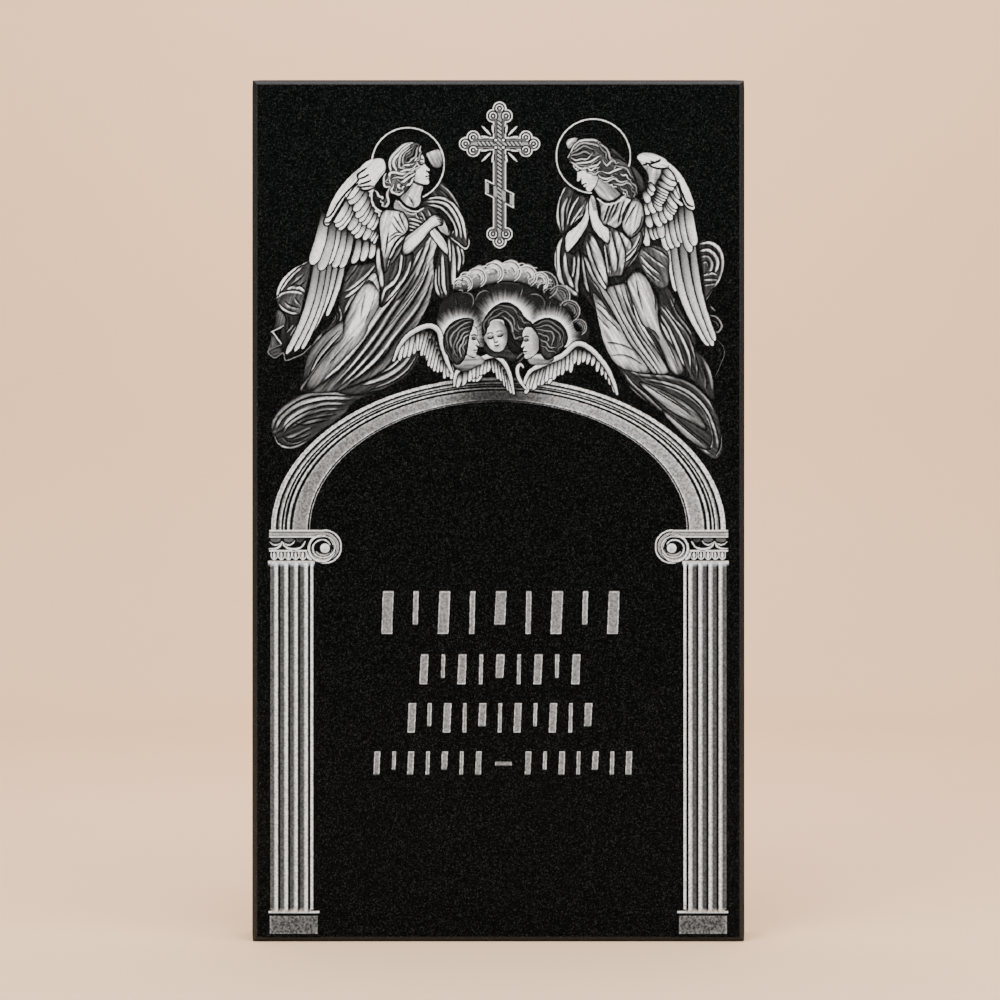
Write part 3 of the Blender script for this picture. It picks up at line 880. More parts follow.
rightRobe = {
    "under": dict(outline=[(108, 904), (124, 904), (166, 905), (176, 880), (176, 850), (204, 840),
        (206, 800), (226, 745), (236, 700), (200, 690), (148, 702), (122, 760), (100, 790), (74, 804),
        (70, 835), (84, 866), (100, 884)], base=0.2, edge=0),
    "far wing": dict(outline=[(82, 972), (86, 978), (98, 979), (92, 971), (86, 964)], base=0.75,
        slope=(-0.2, 0.3)),
    "shade": dict(edge=0, outline=[(136, 968), (146, 960), (158, 948), (168, 940), (178, 925), (176, 912),
        (168, 920), (158, 938), (140, 955)], base=0.30,
        lights=[([(136, 967), (148, 957), (157, 946)], 4, 0.45),
        ([(136, 961), (146, 952), (154, 944)], 3, 0.35), ([(160, 947), (169, 936), (176, 920)], 8, 0.32)]),
    "veil": dict(gain=1.6, outline=[(83, 921), (75, 908), (71, 893), (70, 878), (75, 862), (81, 862),
        (90, 871), (100, 880), (106, 890), (108, 905), (96, 911)], base=0.30,
        lights=[([(82, 919), (74, 904), (72, 885), (76, 864)], 4, 0.7),
        ([(85, 908), (79, 892), (78, 874), (80, 863)], 5, 0.45),
        ([(90, 908), (84, 893), (83, 876)], 4, 0.35),
        ([(99, 908), (91, 895), (86, 883), (84, 871)], 2.8, 0.85),
        ([(105, 898), (95, 884), (87, 871)], 2.8, 0.8), ([(104, 886), (97, 881), (90, 874)], 2.4, 0.7),
        ([(104, 879), (97, 875)], 2, 0.5)]),
    "swirl": dict(edge=0.5, outline=[(144, 704), (170, 693), (205, 691), (230, 683), (250, 669), (264, 650),
        (271, 622), (273, 600), (266, 588), (254, 592), (240, 603), (222, 621), (205, 639), (190, 651),
        (168, 666), (154, 684)], base=0.30,
        lights=[([(150, 700), (172, 691), (205, 688), (234, 678), (254, 660), (266, 638)], 4.5, 0.6),
        ([(166, 688), (205, 680), (228, 671), (246, 656), (258, 637), (266, 612), (266, 595)], 5, 0.75),
        ([(180, 682), (210, 674), (232, 663), (250, 645), (259, 624), (262, 604)], 3, 0.6),
        ([(150, 698), (163, 680), (180, 665), (198, 648), (215, 632), (235, 612), (252, 598), (263, 592)],
        3.4, 0.65), ([(205, 642), (222, 623), (240, 607), (252, 600), (259, 603), (261, 616)], 3, 0.65),
        ([(146, 700), (156, 681), (170, 667), (188, 652)], 2, 0.5),
        ([(264, 590), (271, 603), (271, 622)], 2.4, 0.55)]),
    "swirl leaf": dict(edge=0.7, outline=[(172, 682), (201, 671), (227, 657), (244, 642), (253, 627),
        (251, 623), (234, 633), (216, 642), (198, 655), (181, 670)], base=0.6, slope=(-0.25, 0.1),
        rounded=3.5, fall=0.6, reach=3,
        lights=[([(176, 679), (198, 664), (218, 652), (238, 638)], 3.4, 0.72)],
        creases=[[(192, 672), (213, 660), (234, 645)]]),
    "swirl fold": dict(edge=0.7, outline=[(200, 648), (216, 637), (234, 622), (249, 611), (258, 602),
        (253, 599), (242, 604), (227, 615), (212, 630), (203, 640)], base=0.55, slope=(-0.3, 0.1), rounded=3,
        fall=0.6, lights=[([(203, 644), (218, 631), (234, 617), (250, 605)], 2.6, 0.72)]),
    "trail": dict(gain=1.35, edge=0, outline=[(196, 797), (206, 797), (216, 780), (228, 758), (240, 736),
        (240, 722), (250, 710), (259, 692), (263, 662), (255, 665), (247, 673), (238, 682), (228, 690),
        (220, 708), (206, 740), (196, 765)], base=0.30,
        lights=[([(208, 786), (216, 766), (228, 750), (238, 735)], 3.4, 0.42),
        ([(200, 778), (214, 758), (228, 742), (237, 720), (240, 700)], 3.4, 0.5),
        ([(196, 776), (210, 757), (223, 736), (232, 714), (234, 690)], 3.6, 0.62),
        ([(240, 724), (251, 708), (258, 690), (261, 666)], 6, 0.45),
        ([(246, 702), (251, 686), (252, 672)], 4, 0.35), ([(236, 722), (241, 704), (242, 684)], 2.6, 0.45),
        ([(196, 766), (208, 745), (218, 722), (228, 695)], 4.6, 0.7), ([(214, 784), (212, 772)], 3, 0.4)]),
    "behind": dict(gain=1.35, edge=0, outline=[(170, 838), (180, 847), (196, 847), (207, 838), (208, 818),
        (206, 798), (196, 796), (184, 806), (174, 822)], base=0.42,
        lights=[([(172, 836), (184, 822), (198, 811)], 3.2, 0.75),
        ([(175, 842), (190, 829), (204, 820)], 3.4, 0.62), ([(174, 826), (186, 812), (198, 803)], 3, 0.6),
        ([(184, 846), (198, 838), (207, 831)], 4, 0.5), ([(180, 814), (190, 804)], 2.6, 0.4)]),
    "skirt": dict(edge=0.5, outline=[(108, 864), (118, 860), (128, 852), (131, 830), (134, 812), (138, 799),
        (150, 802), (158, 810), (168, 819), (177, 815), (187, 795), (193, 780), (197, 760), (206, 745),
        (215, 722), (223, 705), (232, 688), (210, 690), (180, 697), (146, 702), (136, 712), (130, 730),
        (124, 750), (118, 772), (110, 790), (102, 802), (100, 830), (103, 850)], base=0.30,
        lights=[([(113, 860), (120, 838), (126, 818), (132, 796)], 13, 0.95),
        ([(107, 854), (113, 830), (124, 805), (138, 783), (152, 762)], 6, 0.85),
        ([(104, 846), (109, 822), (117, 804), (130, 786), (147, 766)], 6.5, 0.6),
        ([(102, 838), (105, 812), (110, 788), (115, 768), (121, 748)], 4, 0.8),
        ([(100, 818), (103, 790), (107, 772)], 3, 0.4),
        ([(134, 800), (143, 780), (157, 757), (173, 731), (191, 704), (200, 692)], 9, 0.85),
        ([(142, 799), (152, 779), (166, 754), (181, 728), (198, 703), (206, 692)], 6, 0.95),
        ([(150, 803), (158, 786), (168, 763), (180, 741), (202, 708)], 4.6, 0.98),
        ([(155, 805), (162, 786), (171, 764), (178, 748)], 3.4, 0.9),
        ([(128, 782), (145, 765), (159, 744), (174, 721), (190, 699)], 5, 0.75),
        ([(118, 800), (134, 784), (150, 764)], 4, 0.55),
        ([(176, 812), (188, 790), (196, 768), (200, 752)], 4, 0.9),
        ([(192, 760), (203, 742), (214, 718), (226, 694)], 7, 0.9),
        ([(184, 732), (196, 712), (208, 692)], 6, 0.3)]),
    "knee": dict(edge=0.5, outline=[(115, 790), (122, 785), (132, 772), (144, 757), (154, 745), (159, 731),
        (166, 721), (176, 709), (186, 696), (179, 692), (166, 694), (153, 697), (142, 704), (135, 714),
        (128, 729), (124, 744), (120, 763), (117, 776)], base=0.84, rounded=6, fall=0.55, reach=2.8,
        power=0.75, slope=(-0.1, 0.1), creases=[[(118, 780), (130, 770), (142, 757), (151, 747)],
        [(120, 772), (128, 763), (138, 753), (150, 741)], [(121, 762), (128, 753), (135, 746)],
        [(164, 720), (156, 725), (143, 729), (131, 730)], [(175, 703), (163, 711), (150, 715), (137, 714)]]),
    "drape": dict(edge=0.6, outline=[(132, 797), (144, 800), (153, 802), (158, 797), (163, 776), (169, 756),
        (179, 739), (192, 721), (205, 700), (208, 693), (192, 692), (177, 711), (162, 730), (147, 757),
        (137, 776), (132, 788)], base=0.72, rounded=4, fall=0.6, reach=3.4, power=0.95, slope=(0, -0.1),
        creases=[[(140, 800), (151, 769), (165, 743), (182, 717), (197, 694)],
        [(147, 801), (157, 770), (169, 744), (186, 720), (202, 695)],
        [(153, 800), (161, 773), (173, 749), (189, 723)]]),
    "fold": dict(edge=0.8, outline=[(103, 838), (107, 822), (113, 808), (122, 796), (130, 781), (145, 756),
        (159, 730), (174, 711), (188, 692), (193, 693), (180, 711), (165, 731), (150, 758), (140, 778),
        (132, 791), (122, 803), (115, 815), (110, 829)], base=0.78, rounded=2.5, fall=0.6, slope=(0, 0.1)),
    "near leg": dict(edge=0.5, outline=[(156, 804), (161, 813), (167, 817), (176, 814), (186, 799),
        (192, 787), (195, 775), (195, 762), (198, 750), (204, 737), (213, 724), (223, 705), (228, 690),
        (217, 689), (209, 695), (203, 710), (197, 724), (188, 739), (181, 746), (174, 753), (168, 768),
        (161, 786)], base=0.88, rounded=7, fall=0.75, slope=(-0.1, 0.1), reach=3.4, power=0.7,
        creases=[[(167, 808), (171, 786), (176, 768)], [(194, 766), (197, 746), (207, 727), (219, 700)],
        [(197, 733), (190, 743), (180, 749)], [(184, 802), (190, 786), (191, 768)]]),
    "far sleeve": dict(outline=[(81, 862), (72, 850), (68, 835), (69, 818), (72, 807), (78, 796), (85, 791),
        (92, 786), (98, 783), (99, 800), (100, 820), (99, 842), (92, 838), (86, 840), (82, 850)], base=0.30,
        lights=[([(78, 859), (73, 845), (72, 825), (75, 808), (81, 796)], 7, 0.97),
        ([(70, 846), (69, 829), (71, 813)], 3, 0.85),
        ([(81, 840), (82, 820), (87, 805), (92, 795)], 6, 0.92), ([(80, 800), (88, 793), (97, 787)], 6, 0.8),
        ([(88, 832), (87, 820)], 3, 0.35), ([(93, 836), (92, 818), (90, 808)], 3.4, 0.9),
        ([(98, 838), (97, 815), (95, 800), (97, 788)], 5, 0.92)]),
    "bodice": dict(outline=[(122, 904), (130, 900), (142, 902), (152, 909), (162, 905), (157, 890),
        (150, 875), (142, 868), (132, 872), (124, 875), (124, 890)], base=0.72, slope=(0.35, 0.1), reach=4,
        creases=[[(136, 901), (131, 887), (128, 876)], [(142, 902), (136, 888), (131, 874)],
        [(148, 905), (142, 891), (137, 880)], [(153, 902), (148, 888), (145, 872)],
        [(157, 898), (152, 886), (150, 876)]]),
    "sleeve drape": dict(edge=0.5, outline=[(135, 866), (150, 858), (161, 854), (172, 864), (177, 872),
        (178, 860), (174, 846), (167, 831), (157, 820), (148, 812), (144, 826), (143, 840)], base=0.6,
        rounded=4, fall=0.5, slope=(0.2, 0.2)),
    "near sleeve": dict(outline=[(130, 872), (140, 869), (150, 864), (160, 856), (172, 866), (176, 855),
        (171, 842), (163, 831), (155, 820), (150, 811), (142, 810), (133, 810), (130, 830), (128, 852)],
        base=0.42, lights=[([(134, 870), (137, 850), (141, 830), (142, 811)], 9, 0.97),
        ([(142, 867), (147, 850), (150, 834), (149, 813)], 10, 0.85),
        ([(148, 865), (156, 852), (161, 842)], 10, 0.8), ([(173, 862), (165, 846), (151, 832)], 3.4, 0.8),
        ([(172, 852), (162, 836), (151, 826)], 3.2, 0.9), ([(166, 838), (158, 826), (151, 817)], 4, 0.5),
        ([(128, 852), (131, 832), (135, 811)], 4, 0.95), ([(132, 838), (137, 812)], 2.4, 0.85)]),
    "upper arm": dict(outline=[(166, 906), (174, 900), (178, 887), (176, 873), (170, 863), (161, 857),
        (153, 864), (150, 873), (152, 884), (157, 896)], base=0.92, rounded=7, fall=0.62, reach=3.2,
        creases=[[(168, 899), (160, 886), (153, 872)], [(161, 902), (156, 890), (151, 877)],
        [(175, 884), (171, 870), (163, 861)]]),
    "far arm": dict(outline=[(110, 905), (106, 895), (104, 884), (96, 873), (83, 862), (81, 850), (83, 839),
        (91, 846), (101, 859), (109, 873), (112, 890)], base=1.0, rounded=3.5, fall=0.5, slope=(-0.1, 0.1)),
    "near arm": dict(outline=[(112, 909), (117, 907), (120, 895), (123, 882), (128, 873), (135, 867),
        (134, 850), (124, 857), (115, 868), (111, 882), (110, 897)], base=1.0, rounded=3.5, fall=0.45),
    "neck": dict(outline=[(112, 930), (126, 938), (141, 923), (150, 912), (141, 902), (129, 903),
        (119, 912)], base=0.58, rounded=3, fall=0.5, slope=(-0.3, -0.3), edge=0),
}
rightHair = [
    ([(84, 955), (92, 968), (104, 976), (116, 976), (129, 968)], 3.4, 0.7),
    ([(87, 957), (95, 967), (106, 973), (118, 970), (126, 964)], 3.4, 0.6),
    ([(88, 958), (98, 966), (108, 968), (118, 964)], 3.4, 0.5),
    ([(88, 956), (98, 960), (108, 961), (117, 957)], 3.6, 0.5),
    ([(88, 954), (97, 952), (106, 953), (115, 959)], 2.6, 0.7),
    ([(87, 950), (96, 947), (106, 949), (118, 953), (124, 957)], 2.8, 0.85),
    ([(88, 949), (98, 943), (108, 942), (118, 945), (124, 950)], 3.2, 0.97),
    ([(105, 943), (114, 940), (123, 944)], 2.6, 0.9), ([(107, 938), (116, 935), (125, 938)], 2.6, 0.75),
    ([(120, 975), (130, 966), (136, 957), (136, 948), (130, 944)], 3, 0.6),
    ([(122, 971), (130, 960), (133, 950)], 2.8, 0.5),
    ([(126, 952), (132, 946), (138, 950), (144, 946), (140, 941)], 2.6, 0.75),
    ([(138, 955), (142, 949), (148, 948)], 2.4, 0.6),
    ([(122, 934), (130, 928), (138, 931), (147, 927)], 3, 0.97),
    ([(124, 929), (132, 925), (142, 929), (150, 925), (159, 926)], 2.6, 0.75),
    ([(126, 939), (135, 935), (142, 940), (152, 941), (161, 935)], 3, 0.75),
    ([(140, 944), (150, 944), (158, 938), (164, 930)], 2.6, 0.6),
    ([(140, 924), (148, 921), (156, 924), (165, 917)], 2.6, 0.65), ([(135, 922), (144, 918)], 2.2, 0.9),
    ([(148, 919), (156, 913), (160, 905)], 2.8, 0.55), ([(157, 929), (165, 922), (170, 911)], 2.8, 0.5),
    ([(152, 913), (156, 907)], 2.2, 0.7), ([(148, 934), (155, 933), (161, 927)], 2.4, 0.7),
    ([(160, 920), (165, 912), (166, 905)], 2.6, 0.45),
]


def paintRightAngel():
    paintAs("right_angel")
    for part in rightRobe.values():
        cloth(**part)
    for k in range(3):
        finger = [(106.5 - k * 1.6, 902 - 2 * k), (105 - k * 1.8, 893 - 2 * k), (102 - k * 1.6, 886 - 2 * k)]
        ink(finger, 0.6, 0.45)
        ink([(113 + k * 1.8, 906 - k), (114.5 + k * 1.8, 898 - k), (116 + k * 1.8, 890)], 0.6, 0.45)
    ink([(120, 908), (130, 901), (142, 903), (152, 911)], 2.0, 0.03, 0.3)
    ink([(120, 905), (131, 898), (144, 900), (154, 908)], 1.5, 0.92, 0.3)
    paintProfile((110, 912), 56, 30, -1)
    cloth([(84, 956), (90, 966), (100, 975), (110, 979), (122, 976), (133, 967), (138, 957), (150, 952),
        (160, 944), (166, 930), (171, 912), (162, 904), (150, 911), (142, 918), (132, 926), (122, 932),
        (114, 937), (104, 942), (92, 947), (86, 950)], 0.34)
    locks(rightHair, 1.12)
    paintHalo(115.5, 956.5, 45, -16, 268)


# child heads
childWings = [
    dict(bar=[(-128, 707), (-119, 727), (-106, 741), (-86, 750), (-73, 744), (-68, 725), (-62, 706),
        (-56, 692)], width=7.5, crest=0.8, rows=[dict(roots=[(-119, 730), (-106, 740), (-90, 746)],
        tips=[(-126, 707), (-112, 712), (-97, 720)], count=6, width=5.5),
        dict(roots=[(-98, 742), (-82, 742), (-73, 726)], tips=[(-98, 722), (-91, 710), (-80, 700)], count=7,
        width=5), dict(roots=[(-82, 734), (-74, 724), (-68, 708)], tips=[(-88, 706), (-80, 697), (-70, 692)],
        count=6, width=5),
        dict(roots=[(-64, 708), (-58, 704)], tips=[(-66, 683), (-57, 686)], count=3, width=6)]),
    dict(bar=[(-54, 676), (-50, 694), (-32, 704), (-8, 714), (6, 706), (14, 690), (19, 667)], width=7,
        crest=0.8, rows=[dict(roots=[(-47, 692), (-32, 700), (-14, 708)],
        tips=[(-50, 675), (-36, 680), (-26, 683)], count=5, width=6),
        dict(roots=[(-30, 703), (-18, 707), (-10, 709)], tips=[(-30, 686), (-22, 688), (-13, 694)], count=5,
        width=5), dict(roots=[(-8, 709), (2, 704), (11, 692)], tips=[(-5, 690), (6, 680), (16, 666)],
        count=6, width=5)]),
    dict(bar=[(30, 676), (38, 694), (56, 704), (78, 714), (95, 728), (112, 722), (130, 702), (140, 682),
        (145, 666)], width=7.5, crest=0.8, rows=[dict(roots=[(40, 692), (56, 701), (70, 707)],
        tips=[(34, 670), (47, 674), (62, 682)], count=7, width=6),
        dict(roots=[(62, 704), (76, 712), (90, 722)], tips=[(58, 684), (72, 686), (88, 696)], count=7,
        width=5.5), dict(roots=[(94, 723), (110, 718), (126, 704), (138, 684)],
        tips=[(92, 702), (108, 702), (126, 690), (142, 668)], count=10, width=5)]),
]
smoke = dict(outline=[(-70, 738), (-75, 756), (-70, 778), (-58, 788), (-40, 791), (-28, 790), (-8, 802),
    (12, 806), (34, 801), (58, 790), (76, 788), (92, 778), (102, 766), (110, 750), (110, 734), (100, 724),
    (86, 724), (40, 722), (-40, 726)], base=0.22, edge=0, grain=0,
    lights=[([(-72, 778), (-60, 788), (-46, 791), (-34, 789), (-30, 780), (-34, 768)], 2.6, 0.6),
        ([(-29, 778), (-25, 788), (-16, 793), (-8, 788)], 2.2, 0.5),
        ([(-10, 797), (4, 802), (22, 801), (34, 796)], 2.4, 0.35),
        ([(36, 788), (48, 788), (56, 780), (55, 766)], 3, 0.45),
        ([(60, 786), (70, 786), (76, 776), (74, 766)], 3, 0.5),
        ([(76, 782), (86, 778), (90, 766), (86, 756)], 2.6, 0.5),
        ([(84, 784), (95, 776), (99, 762), (96, 750)], 2.4, 0.5),
        ([(-52, 785), (-51, 776), (-50, 768)], 2.2, 0.35), ([(30, 796), (27, 786), (25, 780)], 1.8, 0.6),
        ([(64, 780), (62, 772), (60, 764)], 2, 0.5), ([(80, 772), (78, 764)], 2, 0.45)])
cloud = dict(outline=[(-56, 794), (-55, 802), (-48, 806), (-44, 804), (-44, 812), (-38, 817), (-32, 814),
    (-30, 821), (-22, 825), (-15, 820), (-11, 827), (-2, 831), (7, 826), (13, 831), (23, 829), (27, 823),
    (35, 826), (44, 822), (46, 815), (54, 817), (62, 812), (63, 805), (70, 804), (66, 792), (54, 790),
    (46, 793), (38, 798), (24, 803), (8, 804), (-8, 801), (-22, 797), (-36, 792)],
    base=0.6, slope=(-0.15, 0.8), rounded=3, fall=0.7, edge=0, grain=0)
cloudTail = dict(outline=[(62, 806), (70, 806), (77, 800), (77, 792), (85, 791), (91, 784), (89, 776),
    (96, 774), (102, 765), (99, 757), (104, 752), (102, 744), (94, 744), (90, 756), (84, 768), (75, 778),
    (64, 785), (60, 796)],
    base=0.36, slope=(-0.1, 0.3), rounded=5, fall=0.8, edge=0, grain=0.5)
wisps = dict(line=[(-50, 796), (-34, 808), (-12, 814), (8, 817), (30, 814), (50, 806), (64, 796)], half=9,
    count=120)
curls = {
    "tail": dict(places=[(55, 799, 17), (74, 786, 13), (86, 768, 13), (97, 748, 10)],
        levels=(0.58, 0.46, 0.3, 0.5, 0.4)),
    "crown": dict(places=[(-42, 801, 10), (-27, 808, 12), (-7, 814, 13), (14, 816, 13), (34, 810, 13),
        (50, 804, 11)], levels=(0.95, 0.82, 0.45, 0.9, 0.5)),
}
childBusts = [
    dict(outline=[(-56, 712), (-46, 716), (-30, 716), (-20, 712), (-16, 706), (-26, 700), (-40, 694),
        (-52, 698)], base=0.6, slope=(0.2, 0.2)),
    dict(outline=[(-16, 728), (0, 724), (14, 728), (22, 716), (20, 706), (6, 710), (-8, 712), (-16, 718)],
        base=0.3),
    dict(outline=[(34, 716), (46, 716), (60, 716), (68, 710), (62, 704), (50, 702), (38, 704)], base=0.62,
        slope=(-0.2, 0.1)),
]
childHair = {
    "left": (dict(outline=[(-31, 757), (-42, 759), (-54, 755), (-63, 746), (-67, 733), (-65, 720),
        (-58, 710), (-50, 703), (-43, 708), (-39, 717), (-37, 728), (-35, 740), (-32, 748)], base=0.3),
        [([(-32, 757), (-46, 756), (-58, 747), (-63, 734), (-61, 720)], 3.4, 0.5),
        ([(-33, 754), (-46, 750), (-55, 740), (-58, 728), (-54, 714)], 3.4, 0.6),
        ([(-34, 750), (-44, 745), (-51, 736), (-54, 724), (-49, 710)], 3.2, 0.55),
        ([(-35, 745), (-43, 739), (-49, 730), (-50, 719)], 2.8, 0.65),
        ([(-36, 740), (-42, 733), (-46, 724), (-46, 712)], 2.8, 0.75),
        ([(-37, 733), (-42, 726), (-42, 716)], 2.4, 0.65),
        ([(-65, 729), (-62, 717), (-55, 707)], 2.6, 0.45)]),
    "middle": (dict(outline=[(-19, 738), (-19, 752), (-12, 766), (0, 776), (12, 778), (24, 771), (32, 760),
        (41, 752), (35, 744), (36, 736), (28, 731), (20, 733), (14, 742), (12, 752), (4, 758), (-6, 758),
        (-13, 752), (-15, 742)], base=0.3), [([(-17, 740), (-17, 752), (-10, 764), (2, 771)], 3.4, 0.5),
        ([(-14, 748), (-10, 757), (0, 764), (11, 767)], 3.2, 0.5),
        ([(0, 774), (12, 774), (22, 766), (27, 756)], 3.6, 0.5),
        ([(3, 768), (12, 766), (18, 758), (20, 748), (26, 742)], 3.2, 0.55),
        ([(5, 761), (13, 757), (16, 748), (20, 738), (28, 735)], 3.2, 0.65),
        ([(23, 765), (30, 756), (39, 752)], 3.2, 0.5), ([(22, 752), (28, 746), (35, 746)], 2.8, 0.6),
        ([(16, 742), (22, 735), (31, 738)], 2.6, 0.55)]),
    "right": (dict(outline=[(41, 750), (50, 757), (62, 759), (74, 754), (82, 744), (84, 733), (78, 722),
        (70, 714), (60, 709), (54, 713), (50, 722), (50, 734), (46, 742)], base=0.3),
        [([(43, 751), (54, 755), (66, 754), (76, 746), (80, 735)], 3.4, 0.5),
        ([(45, 748), (56, 750), (66, 748), (74, 740), (74, 729)], 3.2, 0.55),
        ([(46, 745), (56, 745), (64, 742), (68, 734), (64, 725)], 3.2, 0.6),
        ([(48, 740), (56, 739), (61, 733), (58, 725)], 2.8, 0.6),
        ([(50, 734), (56, 731), (62, 725), (71, 723)], 2.6, 0.65),
        ([(52, 727), (60, 721), (70, 717)], 2.6, 0.6), ([(77, 736), (78, 728), (72, 719)], 2.6, 0.5)]),
}


def paintGlow(hair, x, z):
    mask, _ = region(hair["outline"])
    within, _ = region(smoke["outline"])
    rows, columns = np.nonzero(within)
    angle = np.arctan2(face["bottom"] + rows * face["pitch"] - z, face["left"] + columns * face["pitch"] - x)
    near = np.clip(3.0 * soften(mask, 19)[rows, columns], 0, 1)
    ray = 0.65 * scatter(np.floor(angle * 24) + x) + 0.35 * scatter(np.floor(angle * 57 + 0.4) + x)
    value = np.clip(near * (1.1 - 0.8 * ray * (1 - near)), 0, 0.95)
    np.maximum.at(tone, (rows, columns), value)
    owner[rows, columns] = painting["motif"]


def paintWisps():
    place = curve(wisps["line"], scatter(np.arange(wisps["count"])))
    for k, (x, z) in enumerate(place):
        shift = wisps["half"] * (1.6 * scatter(k + 500) - 1)
        dim = np.clip((x - 66) / 60, 0, 0.5)
        radius, turn = 2 + 5 * scatter(k + 300), 70 * scatter(k + 700) + 10
        a = np.radians(np.linspace(turn, turn + 90 + 60 * scatter(k + 900), 6))
        value = (0.97, 0.72, 0.86)[k % 3] * (1 - dim) * (0.93 + 0.035 * shift)
        ink([(x + radius * math.cos(v), z + shift + radius * math.sin(v)) for v in a], 1.1, value, 0.9)


def paintCurls(places, levels):
    for x, z, radius in places:
        for k, share in enumerate((1.0, 0.78, 0.9, 0.56, 0.38)):
            a = np.radians(np.linspace(13 * k - 65, 150 - 16 * k, 7))
            arc = [(x + share * radius * math.cos(v), z + share * radius * math.sin(v)) for v in a]
            ink(arc, 1.0, levels[k], 0.9)


collarFolds = [
    ([(16, 712), (24, 720), (33, 726)], 3.2, 0.5),
    ([(18, 706), (26, 714), (33, 721)], 3, 0.42),
    ([(22, 703), (29, 710), (34, 716)], 2.8, 0.36),
]


def paintChildHeads():
    paintAs("child_heads")
    cloth(**smoke)
    for name, (x, z) in (("left", (-48, 735)), ("right", (64, 735)), ("middle", (6, 745))):
        paintGlow(childHair[name][0], x, z)
    cloth(**cloudTail)
    cloth(**cloud)
    paintWisps()
    for group in curls.values():
        paintCurls(**group)
    for wing in childWings:
        for row in wing["rows"]:
            roots, tips = np.array(row["roots"], float), np.array(row["tips"], float)
            featherRow(roots, tips, row["count"], 1.35 * row["width"], row["count"], 0.2)
        start, end = ribbonEdges(wing["bar"], wing["width"], 0.55)

        def shade(along, across, w):
            return np.where(rimOf(across, w) < 0.7, 0.05, 0.97 - 0.5 * np.abs(across - wing["crest"]))
        spread(start, end, shade)
    strand([(35, 672), (29, 679), (24, 689), (23, 698), (27, 703), (31, 699)], 5.5, 0.95, 0.5, 0.7, 0.5)
    for line, width, light in collarFolds:
        strand(line, width, light, 0.2, 0.5, 0.4)
    for bust in childBusts:
        cloth(edge=0, **bust)
    # heads: the two outer ones in profile, the middle one from the front
    paintProfile((-28, 711), 46, -4, 1, True)
    cloth(**childHair["left"][0])
    locks(childHair["left"][1], 0.9)
    cloth([(6, 758), (14, 752), (20, 742), (30, 736), (40, 738), (36, 722), (20, 716), (10, 726), (11, 740)],
        0.2, edge=0)
    paintFrontFace(-3, 737, 15, 19, 12)
    cloth(**childHair["middle"][0])
    locks(childHair["middle"][1], 0.9)
    paintProfile((33, 709), 46, 6, -1, True)
    cloth(**childHair["right"][0])
    locks(childHair["right"][1], 0.9)


# inscription
strokeRows = [
    dict(top=427, bottom=375, left=-152, right=157, count=9, heavy=15, light=7),
    dict(top=350, bottom=314, left=-102, right=106, count=9, heavy=11, light=5),
    dict(top=291, bottom=255, left=-116, right=120, count=11, heavy=10, light=5),
    dict(top=232, bottom=204, left=-158, right=-14, count=7, heavy=8, light=5),
    dict(top=232, bottom=204, left=26, right=169, count=7, heavy=8, light=5),
]


def paintStroke(outline):
    def shade(along, across, width):
        gap = np.minimum(rimOf(across, width), np.minimum(along, 1 - along) * 30)
        return np.where(gap < 1.0, 0.9, 0.6)
    a, b, c, d = [np.asarray(p, float) for p in outline]
    t = np.linspace(0, 1, 300)[:, None]
    spread(a + (d - a) * t, b + (c - b) * t, shade)


def paintInscription():
    paintAs("inscription")
    for row in strokeRows:
        pitch = (row["right"] - row["left"]) / row["count"]
        for i in range(row["count"]):
            middle = row["left"] + (i + 0.5) * pitch
            half = (row["light"] if i % 2 else row["heavy"]) / 2
            foot = row["bottom"] + (row["top"] - row["bottom"]) * (0.22 if i % 3 == 1 else 0)
            corners = [(middle - half, foot), (middle + 0.7 * half, foot)]
            corners += [(middle + half, row["top"]), (middle - 0.7 * half, row["top"])]
            paintStroke(corners)
    paintStroke([(-4, 215), (16, 215), (16, 219.5), (-4, 219.5)])


def paintAll():
    paintArch()
    for sign in (1, -1):
        paintColumn(sign)
    paintLeftWing()
    paintLeftAngel()
    paintRightWing()
    paintRightAngel()
    paintChildHeads()
    figures = (owner > 0) & (owner <= motifs.index("child_heads"))
    # deeper folds, brighter crests
    tone[figures] = np.clip(0.5 + 0.5 * np.tanh(1.2 * (tone[figures] - 0.5)) / math.tanh(0.6), 0, 0.98)
    paintCross()
    crisp = tone + 0.6 * (tone - soften(tone, 3))      # a clean needle edge on every line
    tone[:] = np.where(owner > 0, np.clip(crisp, 0, 1), 0)
    paintInscription()


paintAll()
print("engraving drawn:", round(100 * float((tone > 0.02).mean()), 1), "% of the front")


# materials
def groupSockets(tree, inputs, outputs):
    for name, kind, value in inputs:
        socket = tree.interface.new_socket(name=name, in_out="INPUT", socket_type=kind)
        socket.default_value = value
    for name, kind in outputs:
        tree.interface.new_socket(name=name, in_out="OUTPUT", socket_type=kind)


